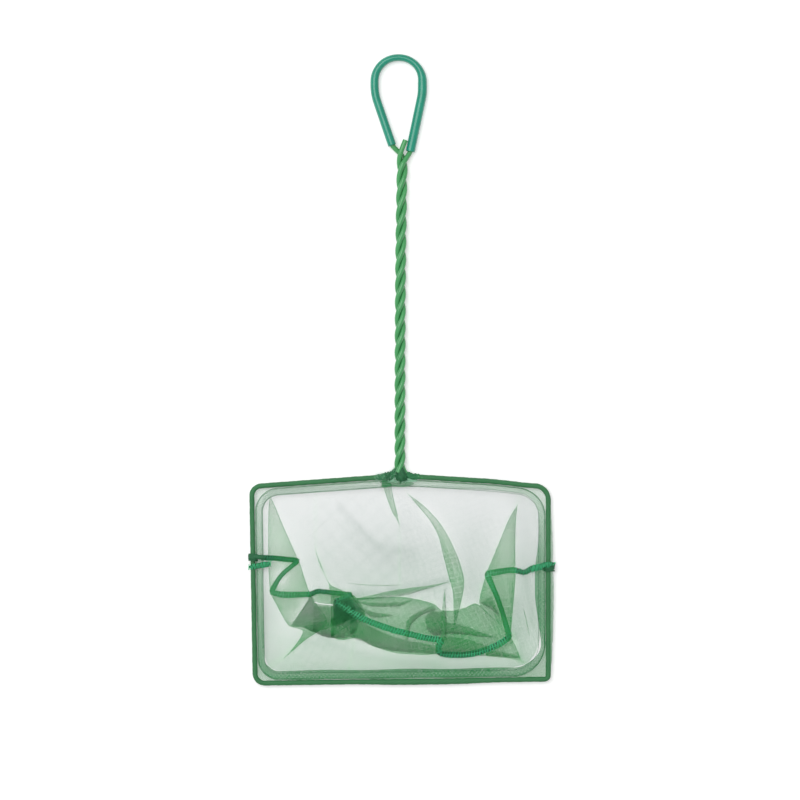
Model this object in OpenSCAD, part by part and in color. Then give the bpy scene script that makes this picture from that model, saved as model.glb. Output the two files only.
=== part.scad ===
// Aquarium fish net, lying flat: a twisted wire handle with a sleeved hand loop,
// a rectangular wire frame, and a shallow mesh bag sewn from two panels.
// X runs across the frame, Y along the handle towards the loop, Z up. The origin is at
// the centre of the outline, on the surface that the net lies on. Millimetres.

/* [Wire] */
// Diameter of the steel core of the wire
core_d = 2.35; // [1.8:0.05:3]
// Thickness of the plastic coating on the wire
coat_t = 0.5; // [0.3:0.05:0.8]

/* [Handle] */
// Length of the twist between the frame and the hand loop
twist_len = 201.3; // [150:1:260]
// Whole turns of the three strands in the twist
twist_turns = 6; // [4:1:8]
// Sideways lean of the handle at the hand loop
handle_lean = 1.5; // [0:0.1:4]
// Distance the cut end of the wire stands past the twist
cut_len = 16; // [14:0.5:20]

/* [Hand loop] */
// Width of the loop between the middles of its two sides
loop_w = 31.9; // [26:0.5:40]
// Height of the loop over the end of the twist, at the middle of the wire
loop_h = 71.1; // [62:0.5:90]
// Outer diameter of the sleeve on the loop
sleeve_d = 6.2; // [5.6:0.1:7.5]
// Wall of the sleeve
sleeve_wall = 0.9; // [0.6:0.05:1]
// Sideways distance from the handle to the left end of the sleeve
left_leg_out = 6.7; // [6:0.1:8]
// Distance from the twist to the left end of the sleeve
left_leg_up = 12.6; // [12:0.1:15]
// Sideways distance from the handle to the right end of the sleeve
right_leg_out = 5.3; // [5:0.1:7]
// Distance from the twist to the right end of the sleeve
right_leg_up = 8.5; // [8:0.1:11]

/* [Frame] */
// Width of the frame between the middles of its side wires
frame_w = 197.7; // [150:1:250]
// Length of the left side of the frame
left_side = 131.1; // [100:1:160]
// Length of the right side of the frame
right_side = 129.5; // [100:1:160]
// Inward lean of the left side at the bottom
left_lean = 2.3; // [0:0.1:5]
// Distance from the end of the twist down to the middle of the top wire
neck_drop = 6.4; // [6:0.1:9]
// Fall of the top wire from the neck to the left corner
left_fall = 7.2; // [3:0.1:15]
// Fall of the top wire from the neck to the right corner
right_fall = 6.1; // [3:0.1:15]
// Bend radius of the top left corner
corner_tl = 6.5; // [3:0.5:12]
// Bend radius of the top right corner
corner_tr = 8; // [3:0.5:12]
// Bend radius of the bottom left corner
corner_bl = 6.5; // [3:0.5:12]
// Bend radius of the bottom right corner
corner_br = 2.6; // [2.3:0.1:12]

/* [Bag] */
// Thickness of the mesh wrapped over the frame wire
casing_t = 0.15; // [0.1:0.01:0.3]
// Width of the hem band inside the frame
hem_w = 5.3; // [4:0.1:7]
// Thickness of the hem band
hem_t = 0.5; // [0.3:0.05:0.8]
// Bend radius of the hem band in the corners, at its middle
hem_r = 20.5; // [17:0.5:26]
// Thickness of the folded mesh of the bag
bag_t = 0.6; // [0.4:0.05:0.9]
// Distance over which the bag falls from the hem to the flat bottom
bag_fall = 5; // [4:0.1:8]
// Width of the seam that joins the two panels
seam_w = 3.3; // [2.5:0.1:4.5]
// Height of the seam over the mesh
seam_h = 1; // [0.7:0.05:1.3]
// Width of the line of hem stitches
thread_w = 0.6; // [0.4:0.05:1]
// Length of a side tack along the frame wire
side_tack_len = 6.3; // [4:0.1:9]
// Length of a neck tack along the frame wire
neck_tack_len = 4; // [3:0.1:5]
// Thickness of the thread wound in a tack
tack_t = 0.6; // [0.4:0.05:0.8]

/* [Hidden] */
$fn = 48;

// Clearances, and how far and how snugly the lengths of a bent piece run into each other
fit = 0.05;
lap = 0.12;
grow = 0.01;
soft_gap = 0.3;
strand_gap = 0.2;

wire_d = core_d + 2 * coat_t;
wire_r = wire_d / 2;
casing_r = wire_r + fit + casing_t;

// The twist: three strands wound about one axis, so close that they nearly touch.
// It lies on the ground, and the twist is a little tighter at the neck.
strands = 3;
tighten_share = 0.09;
tight_pitch = twist_len / (twist_turns * (1 + tighten_share));
lay_angle = atan(PI * wire_d / cos(30) / tight_pitch);
twist_r = wire_r * sqrt(1 + pow(tan(90 - 180 / strands) / cos(lay_angle), 2)) + strand_gap / 2;
axis_z = twist_r + wire_r;
right_phase = 11;
left_phase = right_phase + 120;
cut_phase = right_phase - 120;
rings_a_turn = 12;
lead_rings = 7;
sides = 8;

// The hand loop lies flat on its sleeve
sleeve_r = sleeve_d / 2;
loop_z = sleeve_r + grow;
loop_off = 2.5;
shoulder_h = 8;
shoulder_r = 35;
top_share = 0.98;
twist_end = [handle_lean, twist_len];
left_mouth = twist_end + [-left_leg_out, left_leg_up];
right_mouth = twist_end + [right_leg_out, right_leg_up];
loop_left = handle_lean - loop_off - loop_w / 2;
loop_right = handle_lean - loop_off + loop_w / 2;
loop_top = twist_len + loop_h;
shoulder_y = loop_top - loop_w / 2 - shoulder_h;
loop_path = [left_mouth, [loop_left, shoulder_y], [loop_left, loop_top],
             [loop_right, loop_top], [loop_right, shoulder_y], right_mouth];
loop_bends = [shoulder_r, top_share * loop_w / 2, top_share * loop_w / 2, shoulder_r];

// The cut end stands up beside the right leg of the loop, just over its sleeve
cut_out = 2.2;
cut_spring = 0.8;
right_leg = unit([loop_right, shoulder_y] - right_mouth);
cut_xy = twist_end + [cut_out, cut_len];
cut_aside = abs(cross(right_leg, cut_xy - right_mouth));
cut_rise = sqrt(max(0, pow(sleeve_r + wire_r + strand_gap, 2) - pow(cut_aside, 2)));
cut_end = [cut_xy.x, cut_xy.y, loop_z + cut_rise + cut_spring];
cut_dir = unit([0.42, 1, 0.12]);

// Corners of the frame at the middle of the wire, clockwise from the neck
neck = [0, -neck_drop];
top_right = [frame_w / 2, -neck_drop - right_fall];
bottom_right = top_right + [0, -right_side];
top_left = [-frame_w / 2, -neck_drop - left_fall];
bottom_left = top_left + [left_lean, -left_side];
frame_corners = [neck, top_right, bottom_right, bottom_left, top_left];
root_share = 2.4;
root_out = root_share * wire_d;
left_root = on_bar(neck, top_left, root_out);
right_root = on_bar(neck, top_right, root_out);

// Where the two panels meet on the side wires
left_join_share = 0.36;
right_join_share = 0.423;
left_join = top_left + left_join_share * (bottom_left - top_left);
right_join = top_right + right_join_share * (bottom_right - top_right);

// Distances inward from the middle of the wire
hem_in = casing_r + soft_gap + hem_w / 2;
wall_in = hem_in + hem_w / 2 + soft_gap;
floor_in = wall_in + bag_fall;
neck_bend = 3 * hem_r;
thread_share = 0.31;
thread_in = hem_in + thread_share * hem_w;
thread_h = thread_w / 2;

// The gathered mesh at the neck and the tacks
gather_share = 0.93;
gather_r = gather_share * axis_z;
gather_out = root_out + soft_gap;
left_gather_len = 2.2 * wire_d;
right_gather_len = 1.4 * wire_d;
tack_fit = 0.1;
tack_r = casing_r + tack_fit + tack_t;
left_casing_out = gather_out + left_gather_len + soft_gap;
right_casing_out = gather_out + right_gather_len + soft_gap;

// The seam, as shares of the frame's width and of the bag's height below the joins
seam_points_share = [[-0.4, -0.02], [-0.38, 0.11], [-0.33, 0.23], [-0.25, 0.28],
                     [-0.16, 0.42], [0, 0.59], [0.14, 0.68], [0.25, 0.77], [0.33, 0.74],
                     [0.36, 0.6], [0.33, 0.37], [0.315, 0.2], [0.35, 0.08], [0.4, 0.05]];
seam_steps = 3;
bag_h = (left_join.y + right_join.y - bottom_left.y - bottom_right.y) / 2;
seam_start_in = wall_in + soft_gap;

// Outline of the whole net, which the origin is centred on
tl_bend = corner(bottom_left, top_left, neck, corner_tl);
tr_bend = corner(neck, top_right, bottom_right, corner_tr);
br_bend = corner(top_right, bottom_right, bottom_left, corner_br);
bl_bend = corner(bottom_right, bottom_left, top_left, corner_bl);
x_left = min(tl_bend[2].x - corner_tl - casing_r, left_join.x - tack_r);
x_right = max(tr_bend[2].x + corner_tr + casing_r, right_join.x + tack_r);
y_low = min(bl_bend[2].y - corner_bl, br_bend[2].y - corner_br) - casing_r;
y_high = loop_top + sleeve_r;
origin = [(x_left + x_right) / 2, (y_low + y_high) / 2];

function unit(v) = v / norm(v);
function right_of(v) = [v.y, -v.x];
function on_bar(from, to, out) = from + unit(to - from) * out;

// A rounded corner at v between p and n: its two tangent points, the middle of its
// arc, the angle at which the arc starts anticlockwise, and the angle that it spans
function corner(p, v, n, r) = let (
    a = unit(p - v),
    b = unit(n - v),
    half = acos(a * b) / 2,
    back = r / tan(half),
    c = v + unit(a + b) * r / sin(half),
    last = v + b * back - c
) [v + a * back, v + b * back, c, atan2(last.y, last.x), 180 - 2 * half];

// The corner of a line that keeps the distance d inside two bars
function inset(p, v, n, d) = let (
    a = unit(p - v),
    b = unit(n - v),
    half = acos(a * b) / 2
) v + unit(a + b) * d / sin(half);

function inset_frame(d) = [for (i = [0:4])
    inset(frame_corners[(i + 4) % 5], frame_corners[i], frame_corners[(i + 1) % 5], d)];

// A point on a join, the distance d inside the side wire and u along it
function left_at(d, u) = left_join + right_of(unit(top_left - bottom_left)) * d
    + unit(top_left - bottom_left) * u;
function right_at(d, u) = right_join + right_of(unit(bottom_right - top_right)) * d
    + unit(top_right - bottom_right) * u;

// The upper and the lower half of a line that keeps the distance d inside the frame
function upper_line(d, gap) = let (c = inset_frame(d))
    [left_at(d, gap), c[4], c[0], c[1], right_at(d, gap)];
function lower_line(d, gap) = let (c = inset_frame(d))
    [right_at(d, -gap), c[2], c[3], left_at(d, -gap)];

// A flat clockwise line with its corners rounded in short steps, and its legs in steps too
corner_steps = 6;
leg_steps = 6;
function stepped(a, b) = [for (k = [0:leg_steps - 1]) a + (b - a) * k / leg_steps];
function rounded(line, bends) = let (
    last = len(bends) - 1,
    bend = [for (i = [0:last]) corner(line[i], line[i + 1], line[i + 2], bends[i])]
) concat(
    [for (i = [0:last]) each concat(
        stepped(i == 0 ? line[0] : bend[i - 1][1], bend[i][0]),
        [for (k = [0:corner_steps - 1])
            let (a = bend[i][3] + bend[i][4] * (1 - k / corner_steps))
                bend[i][2] + bends[i] * [cos(a), sin(a)]])],
    stepped(bend[last][1], line[len(line) - 1]), [line[len(line) - 1]]);

// A smooth curve from a to b that leaves along da and arrives along db
function curve_point(a, da, b, db, t) = (2 * t * t * t - 3 * t * t + 1) * a
    + (t * t * t - 2 * t * t + t) * da + (3 * t * t - 2 * t * t * t) * b
    + (t * t * t - t * t) * db;
function curve_dir(a, da, b, db, t) = unit((6 * t * t - 6 * t) * (a - b)
    + (3 * t * t - 4 * t + 1) * da + (3 * t * t - 2 * t) * db);
function lead(a, dir_a, b, dir_b, reach) = let (m = reach * norm(b - a))
    [for (i = [0:lead_rings]) let (t = i / lead_rings)
        [curve_point(a, m * dir_a, b, m * dir_b, t), curve_dir(a, m * dir_a, b, m * dir_b, t)]];

// A strand in the twist at the share u of its length, from the neck up
function twist_angle(phase, u) = phase + 360 * twist_turns * (u + tighten_share * u * (1 - u));
function twist_rate(u) = 2 * PI * twist_turns * (1 + tighten_share * (1 - 2 * u));
function twist_point(phase, u) = let (a = twist_angle(phase, u))
    [handle_lean * pow(u, 3) + twist_r * sin(a), twist_len * u, axis_z + twist_r * cos(a)];
function twist_dir(phase, u) = let (a = twist_angle(phase, u), w = twist_rate(u) * twist_r)
    unit([3 * handle_lean * u * u + w * cos(a), twist_len, -w * sin(a)]);
function twist_run(phase, past) = let (n = twist_turns * rings_a_turn)
    [for (i = [1:n + past - 1]) [twist_point(phase, i / n), twist_dir(phase, i / n)]];
function twist_top(past) = 1 + past / (twist_turns * rings_a_turn);

function flat(v, z) = [v.x, v.y, z];

// Rings that two of the strands go on in the twist while the right leg leaves it
cut_past = 3;
left_past = 2;

// The three strands, each as a list of places and directions from the frame up
bend_reach = 1.17;
leg_reach = 1;
hidden_share = 1.4;
cut_rings = concat(
    lead(flat(left_root, axis_z), flat(unit(neck - top_left), 0),
         twist_point(cut_phase, 0), twist_dir(cut_phase, 0), bend_reach),
    twist_run(cut_phase, cut_past),
    lead(twist_point(cut_phase, twist_top(cut_past)), twist_dir(cut_phase, twist_top(cut_past)),
         cut_end, cut_dir, leg_reach));
left_rings = concat(
    lead(flat(right_root, axis_z), flat(unit(neck - top_right), 0),
         twist_point(left_phase, 0), twist_dir(left_phase, 0), bend_reach),
    twist_run(left_phase, left_past),
    lead(twist_point(left_phase, twist_top(left_past)),
         twist_dir(left_phase, twist_top(left_past)), flat(left_mouth, loop_z),
         flat(unit([loop_left, shoulder_y] - left_mouth), 0), leg_reach));
hidden_end = twist_point(right_phase, 0) - hidden_share * wire_d * twist_dir(right_phase, 0);
right_rings = concat(
    [[hidden_end, twist_dir(right_phase, 0)],
     [twist_point(right_phase, 0), twist_dir(right_phase, 0)]],
    twist_run(right_phase, 0),
    lead(twist_point(right_phase, 1), twist_dir(right_phase, 1), flat(right_mouth, loop_z),
         flat(right_leg, 0), leg_reach));

// The seam in plan, smoothed through its points, and its height over the mesh
function spline(p, i, t) = let (
    a = p[max(i - 1, 0)],
    b = p[i],
    c = p[i + 1],
    d = p[min(i + 2, len(p) - 1)]
) curve_point(b, (c - a) / 2, c, (d - b) / 2, t);
seam_controls = concat([left_at(seam_start_in, 0)],
    [for (s = seam_points_share)
        [s.x * frame_w, (left_join.y + right_join.y) / 2 - s.y * bag_h]],
    [right_at(seam_start_in, 0)]);
seam_plan = concat(
    [for (i = [0:len(seam_controls) - 2], j = [0:seam_steps - 1])
        spline(seam_controls, i, j / seam_steps)],
    [right_at(seam_start_in, 0)]);
seam_over = soft_gap + seam_h / 2;
wall_slope = (axis_z - bag_t / 2) / bag_fall;
function side_in(v) = min(right_of(unit(top_left - bottom_left)) * (v - top_left),
                          right_of(unit(bottom_right - top_right)) * (v - top_right));
function seam_z(v) = bag_t + seam_over
    + max(0, floor_in + seam_over - side_in(v)) * wall_slope;
seam_line = [for (v = seam_plan) flat(v, seam_z(v))];
seam_rings = [for (i = [0:len(seam_line) - 1])
    [seam_line[i], unit(seam_line[min(i + 1, len(seam_line) - 1)] - seam_line[max(i - 1, 0)])]];

module place() translate([-origin.x, -origin.y, 0]) children();

// A length of stock with the child as its section, x outward and y up, along a flat
// clockwise line whose inner corners have the given bend radii
module run(points, bends) {
    last = len(points) - 2;
    bend = [for (i = [1:len(points) - 2])
        corner(points[i - 1], points[i], points[i + 1], bends[i - 1])];
    from = [points[0], for (b = bend) b[1]];
    to = [for (b = bend) b[0], points[len(points) - 1]];
    for (i = [0:last]) {
        way = to[i] - from[i];
        before = i == 0 ? 0 : lap;
        after = i == last ? 0 : lap;
        translate(from[i] - before * unit(way))
            rotate([90, 0, atan2(way.y, way.x) + 90])
                linear_extrude(norm(way) + before + after) let ($grow = 0) children();
    }
    for (i = [0:len(bend) - 1])
        translate(bend[i][2])
            rotate(bend[i][3])
                rotate_extrude(angle = bend[i][4])
                    translate([bends[i], 0]) let ($grow = grow) children();
}

// A tube along places and directions, wide by high, hollow when bore is over zero
function hoop(place, wide, high) = let (
    side = unit(cross(place[1], [0, 0, 1])),
    up = cross(side, place[1])
) [for (k = [0:sides - 1]) let (a = 360 * (k + 0.5) / sides)
    place[0] + wide / 2 * cos(a) * side + high / 2 * sin(a) * up];

module tube(places, wide, high, bore) {
    n = len(places);
    outer = [for (p = places) each hoop(p, wide, high)];
    skin = [for (i = [0:n - 2], k = [0:sides - 1]) let (
            a = i * sides + k,
            b = i * sides + (k + 1) % sides
        ) each [[a, b, a + sides], [b, b + sides, a + sides]]];
    end = (n - 1) * sides;
    if (bore == 0) {
        caps = [for (k = [1:sides - 2]) each [[0, k + 1, k], [end, end + k, end + k + 1]]];
        polyhedron(outer, concat(skin, caps));
    } else {
        all = n * sides;
        inner = [for (p = places) each hoop(p, bore, bore)];
        lining = [for (f = skin) [f[0] + all, f[2] + all, f[1] + all]];
        rims = [for (k = [0:sides - 1]) let (m = (k + 1) % sides) each [
            [k, k + all, m], [m, k + all, m + all],
            [end + k, end + m, end + k + all], [end + m, end + m + all, end + k + all]]];
        polyhedron(concat(outer, inner), concat(skin, lining, rims));
    }
}

// A tack of thread round the frame wire and half the hem, out along a bar
module tack(at, way, length) {
    lip = hem_t + 2 * (tack_fit + tack_t);
    slot = hem_t + 2 * tack_fit;
    translate(at - unit(way) * length / 2)
        rotate([90, 0, atan2(way.y, way.x) + 90])
            translate([0, axis_z, 0])
                linear_extrude(length)
                    difference() {
                        union() {
                            circle(tack_r);
                            translate([-hem_in, -lip / 2]) square([hem_in, lip]);
                            translate([-hem_in, 0]) circle(d = lip);
                        }
                        circle(casing_r + tack_fit);
                        translate([-hem_in - lip, -slot / 2]) square([hem_in + lip, slot]);
                    }
}

// A cone of gathered mesh round the root of a bar, slotted for the hem
module gather(corner_at, length) {
    way = corner_at - neck;
    side = way.x > 0 ? 1 : -1;
    slot = hem_t + 2 * soft_gap;
    translate(flat(on_bar(neck, corner_at, gather_out), axis_z))
        rotate(atan2(way.y, way.x))
            difference() {
                rotate([0, 90, 0]) cylinder(h = length, r1 = gather_r, r2 = casing_r + casing_t);
                rotate([0, 90, 0]) translate([0, 0, -length])
                    cylinder(h = 3 * length, r = wire_r + fit);
                translate([length / 2, -side * (casing_r + hem_w / 2), 0])
                    cube([3 * length, hem_w, slot], center = true);
            }
}

module level(z) translate([0, 0, z]) children();

coat_green = [0.22, 0.56, 0.3];
mesh_green = [0.72, 0.84, 0.74];
hem_green = [0.58, 0.74, 0.6];
thread_green = [0.08, 0.42, 0.24];

module wire_run(points, bends, z, bore) {
    place() level(z) run(points, bends)
        difference() {
            circle(wire_r + $grow);
            circle(bore / 2 - $grow);
        }
}

module strand_core(rings) place() color("silver") tube(rings, core_d, core_d, 0);
module strand_coat(rings) place() color(coat_green) tube(rings, wire_d, wire_d, core_d + 2 * fit);

module cut_strand_core() strand_core(cut_rings);
module cut_strand_coat() strand_coat(cut_rings);
module left_strand_core() strand_core(left_rings);
module left_strand_coat() strand_coat(left_rings);
module right_strand_core() strand_core(right_rings);
module right_strand_coat() strand_coat(right_rings);

frame_line = [right_root, top_right, bottom_right, bottom_left, top_left, left_root];
frame_bends = [corner_tr, corner_br, corner_bl, corner_tl];

module frame_core() color("silver")
    place() level(axis_z) run(frame_line, frame_bends) circle(core_d / 2 + $grow);

module frame_coat() color(coat_green)
    wire_run(frame_line, frame_bends, axis_z, core_d + 2 * fit);

module loop_core() color("silver")
    place() level(loop_z) run(loop_path, loop_bends) circle(core_d / 2 + $grow);

module loop_coat() color(coat_green)
    wire_run(loop_path, loop_bends, loop_z, core_d + 2 * fit);

module loop_sleeve() color([0.15, 0.62, 0.5])
    place() level(loop_z) run(loop_path, loop_bends)
        difference() {
            circle(sleeve_r + $grow);
            circle(sleeve_r - sleeve_wall - $grow);
        }

// Mesh folded over the wire, as a thin skin
module casing(points, bends) color(coat_green * 0.7)
    place() level(axis_z) run(points, bends)
        difference() {
            circle(casing_r + $grow);
            circle(wire_r + fit - $grow);
        }

module casing_upper_left() casing(
    [left_at(0, soft_gap), top_left, on_bar(neck, top_left, left_casing_out)], [corner_tl]);
module casing_upper_right() casing(
    [on_bar(neck, top_right, right_casing_out), top_right, right_at(0, soft_gap)], [corner_tr]);
module casing_lower() casing(
    [right_at(0, -soft_gap), bottom_right, bottom_left, left_at(0, -soft_gap)],
    [corner_br, corner_bl]);

// The hem bands, folded mesh just inside the wire
module band(points, bends) color(hem_green)
    place() level(axis_z) run(points, bends)
        square([hem_w + $grow, hem_t + $grow], center = true);

module hem_upper() band(upper_line(hem_in, soft_gap), [hem_r, neck_bend, hem_r]);
module hem_lower() band(lower_line(hem_in, soft_gap), [hem_r, hem_r]);

// Lines of stitches on the hem bands
thread_r = hem_r + hem_in - thread_in;
module stitches(points, bends) color(thread_green)
    place() level(axis_z + hem_t / 2 + grow) run(points, bends)
        translate([-(thread_w + $grow) / 2, 0]) square([thread_w + $grow, thread_h + $grow]);

module hem_thread_upper() stitches(upper_line(thread_in, soft_gap),
                                   [thread_r, neck_bend, thread_r]);
module hem_thread_lower() stitches(lower_line(thread_in, soft_gap), [thread_r, thread_r]);

// The bag: a shallow pan that falls from the hem to a flat bottom, open upward. Each
// panel is given by its rim and its foot, clockwise, the seam back to its start, a point
// on its floor where it has one, and the three corners of each face of that floor.
module panel(rim, foot, seam, inner, floor_faces) {
    n = len(rim);
    low = 2 * n + len(seam) + len(inner);
    points = concat(
        [for (v = rim) flat(v, axis_z + bag_t / 2)],
        [for (v = concat(foot, seam, inner)) flat(v, bag_t)],
        [for (v = rim) flat(v, axis_z - bag_t / 2)],
        [for (v = concat(foot, seam, inner)) flat(v, 0)]);
    wall = [for (i = [0:n - 2]) each [[i, i + 1, n + i + 1], [i, n + i + 1, n + i]]];
    lip = [for (i = [0:n - 2]) each [[i, low + i, i + 1], [low + i, low + i + 1, i + 1]]];
    cut = [for (e = cut_edges(n, seam)) each [
        [e[0], low + e[0], e[1]], [low + e[0], low + e[1], e[1]]]];
    top = concat(wall, floor_faces);
    polyhedron(points, concat(top, [for (f = top) [low + f[0], low + f[2], low + f[1]]],
                              lip, cut));
}

// The edges of a panel that aren't its rim, from one end of the rim to the other
function cut_edges(n, seam) = let (
    path = concat([n - 1, 2 * n - 1], [for (i = [0:len(seam) - 1]) 2 * n + i], [n, 0])
) [for (i = [0:len(path) - 2]) [path[i], path[i + 1]]];

// Faces from a hub to each edge of a closed line, and faces between two lines that turn
// the same way about the hub
hub_share = 0.24;
hub = (left_join + right_join) / 2 + [0, hub_share * bag_h];
function bearing(v) = atan2(v.x - hub.x, hub.y - v.y);
function fan(first, count) = [for (i = [0:count - 1])
    [first + i, first + (i + 1) % count, first + count]];
function zip(a, turn_a, b, turn_b, i, j) =
    i == len(a) - 1 && j == len(b) - 1 ? [] :
    j == len(b) - 1 || (i < len(a) - 1 && turn_a[i + 1] < turn_b[j + 1])
        ? concat([[a[i], a[i + 1], b[j]]], zip(a, turn_a, b, turn_b, i + 1, j))
        : concat([[a[i], b[j + 1], b[j]]], zip(a, turn_a, b, turn_b, i, j + 1));

function panel_edge(line, bends, d) = rounded(line, [for (b = bends) b + hem_in - d]);
seam_inner = [for (v = seam_plan) if (side_in(v) > floor_in + soft_gap) v];
seam_back = [for (i = [len(seam_inner) - 1:-1:0]) seam_inner[i]];
upper_bends = [hem_r, neck_bend, hem_r];
lower_bends = [hem_r, hem_r];
upper_foot = panel_edge(upper_line(floor_in, soft_gap / 2), upper_bends, floor_in);
lower_foot = panel_edge(lower_line(floor_in, soft_gap / 2), lower_bends, floor_in);
lower_foot_count = len(lower_foot);

module bag_upper() color(mesh_green) place() panel(
    panel_edge(upper_line(wall_in, soft_gap / 2), upper_bends, wall_in),
    upper_foot, seam_back, [hub], fan(len(upper_foot), len(upper_foot) + len(seam_back)));

module bag_lower() color(mesh_green * 0.9) place() panel(
    panel_edge(lower_line(wall_in, soft_gap / 2), lower_bends, wall_in),
    lower_foot, seam_inner, [],
    zip([for (i = [0:len(seam_inner) - 1]) 2 * lower_foot_count + i],
        [for (v = seam_inner) bearing(v)],
        [for (i = [2 * lower_foot_count - 1:-1:lower_foot_count]) i],
        [for (i = [lower_foot_count - 1:-1:0]) bearing(lower_foot[i])], 0, 0));

module bag_seam() color(thread_green) place() tube(seam_rings, seam_w, seam_h, 0);

module side_tack_left() color(thread_green)
    place() tack(left_join, top_left - bottom_left, side_tack_len);
module side_tack_right() color(thread_green)
    place() tack(right_join, bottom_right - top_right, side_tack_len);
module neck_tack_left() color(thread_green)
    place() tack(on_bar(neck, top_left, left_casing_out + neck_tack_len), neck - top_left,
                 neck_tack_len);
module neck_tack_right() color(thread_green)
    place() tack(on_bar(neck, top_right, right_casing_out + neck_tack_len), top_right - neck,
                 neck_tack_len);
module neck_gather_left() color(coat_green * 0.6)
    place() gather(top_left, left_gather_len);
module neck_gather_right() color(coat_green * 0.6)
    place() gather(top_right, right_gather_len);

cut_strand_core();
cut_strand_coat();
left_strand_core();
left_strand_coat();
right_strand_core();
right_strand_coat();
frame_core();
frame_coat();
loop_core();
loop_coat();
loop_sleeve();
casing_upper_left();
casing_upper_right();
casing_lower();
hem_upper();
hem_lower();
hem_thread_upper();
hem_thread_lower();
bag_upper();
bag_lower();
bag_seam();
side_tack_left();
side_tack_right();
neck_tack_left();
neck_tack_right();
neck_gather_left();
neck_gather_right();
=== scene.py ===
# %% [markdown]
# # An aquarium net of twisted wire and mesh
# One length of coated steel wire, bent and twisted, carries a bag of fine mesh. The sizes
# are those of the CAD solids. This file adds round wire, folded cloth and sewing thread.

# %% Load the frame
import math

import bmesh
import bpy
import numpy as np
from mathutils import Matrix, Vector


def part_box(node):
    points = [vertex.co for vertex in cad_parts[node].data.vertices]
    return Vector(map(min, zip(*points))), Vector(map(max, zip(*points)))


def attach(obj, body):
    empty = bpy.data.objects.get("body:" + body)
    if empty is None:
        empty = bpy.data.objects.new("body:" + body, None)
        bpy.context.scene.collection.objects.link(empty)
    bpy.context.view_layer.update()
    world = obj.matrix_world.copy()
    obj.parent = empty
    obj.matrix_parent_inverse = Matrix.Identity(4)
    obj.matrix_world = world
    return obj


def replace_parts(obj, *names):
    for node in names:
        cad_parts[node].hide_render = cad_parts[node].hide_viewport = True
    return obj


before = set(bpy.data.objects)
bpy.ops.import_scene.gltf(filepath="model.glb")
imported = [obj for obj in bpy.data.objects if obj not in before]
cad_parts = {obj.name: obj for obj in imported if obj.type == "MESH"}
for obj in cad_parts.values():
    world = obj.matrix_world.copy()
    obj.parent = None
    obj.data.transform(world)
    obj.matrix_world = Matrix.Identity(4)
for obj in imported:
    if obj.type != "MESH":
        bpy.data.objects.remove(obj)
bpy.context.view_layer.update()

MM = 0.001

# %% [markdown]
# ## Lines in millimetres
# Wire and hems follow straight legs with rounded corners. Each leg and each bend always has
# the same number of points, so that cloth can be laid between two lines side by side.

# %% Vectors, rounded lines and even spacing
def unit(v):
    v = np.asarray(v, float)
    return v / np.linalg.norm(v, axis=-1, keepdims=True)


def rounded(corners, radii, legs, bends):
    corners = [np.asarray(c, float) for c in corners]
    out, start = [], corners[0]
    for i, r in enumerate(radii, 1):
        a, b = unit(corners[i - 1] - corners[i]), unit(corners[i + 1] - corners[i])
        half = math.acos(float(a @ b)) / 2
        middle = corners[i] + unit(a + b) * r / math.sin(half)
        first = corners[i] + a * r / math.tan(half) - middle
        turn = -math.copysign(math.pi - 2 * half, float(a[0] * b[1] - a[1] * b[0]))
        out += [start + (middle + first - start) * t for t in np.arange(legs) / legs]
        for t in np.arange(bends) / bends:
            c, s = math.cos(turn * t), math.sin(turn * t)
            out.append(middle + [c * first[0] - s * first[1], s * first[0] + c * first[1]])
        start = corners[i] + b * r / math.tan(half)
    return np.array(out + [start + (corners[-1] - start) * t for t in np.arange(legs + 1) / legs])


def lengths(line):
    return np.concatenate([[0], np.cumsum(np.linalg.norm(np.diff(line, axis=0), axis=1))])


def even(line, step):
    line = np.asarray(line, float)
    s = lengths(line)
    at = np.linspace(0, s[-1], max(2, int(round(s[-1] / step)) + 1))
    return np.stack([np.interp(at, s, c) for c in line.T], 1)


def lift(line, z):
    return np.column_stack([line, np.broadcast_to(z, len(line))])


def soft(t):
    """Goes from 0 to 1 with no corner at either end."""
    t = np.clip(t, 0, 1)
    return t * t * (3 - 2 * t)


def hump(t, power=2):
    return np.exp(-t ** power)


def smoothed(values, times):
    for _ in range(times):
        values[1:-1] = (values[:-2] + 2 * values[1:-1] + values[2:]) / 4


def hermite(t, a, way_a, b, way_b):
    return ((2 * t**3 - 3 * t**2 + 1) * a + (t**3 - 2 * t**2 + t) * way_a
            + (3 * t**2 - 2 * t**3) * b + (t**3 - t**2) * way_b)


def px(x, y, *z):
    """A place given as it lies in the straight-down view, 1.5 steps for a millimetre."""
    return np.array([(x - 400) / 1.5, (369.4 - y) / 1.5, *z])


# %% [markdown]
# ## Meshes from numbers
# A part is points, faces and UVs. Rings along a line make wire, sleeve, cord and thread.
# UVs are real millimetres, so that patterns keep their scale.

# %% Tubes, strips and pieces
def swept(line, way, size, sides, wrap):
    """Rings round a line, square to way. size is half the width and height of each."""
    side = unit(np.cross(way, [0, 0, 1.0]))
    a = np.arange(sides + 1) * 2 * math.pi / sides
    rings = (line[:, None] + size[:, :1, None] * np.cos(a)[:, None] * side[:, None]
             + size[:, 1:, None] * np.sin(a)[:, None] * np.cross(side, way)[:, None])
    uv = np.stack(np.broadcast_arrays(lengths(line)[:, None], a * wrap), 2)
    k, faces, uvs = np.arange(sides), [], []
    for i in range(len(line) - 1):
        low, high, m = i * sides, (i + 1) * sides, (k + 1) % sides
        faces += np.stack([low + k, low + m, high + m, high + k], 1).tolist()
        uvs += np.stack([uv[i, k], uv[i, k + 1], uv[i + 1, k + 1], uv[i + 1, k]], 1).tolist()
    faces += [k[::-1].tolist(), (high + k).tolist()]
    uvs += [uv[0, k[::-1]].tolist(), uv[-1, k].tolist()]
    return rings[:, :sides].reshape(-1, 3), faces, uvs


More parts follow.
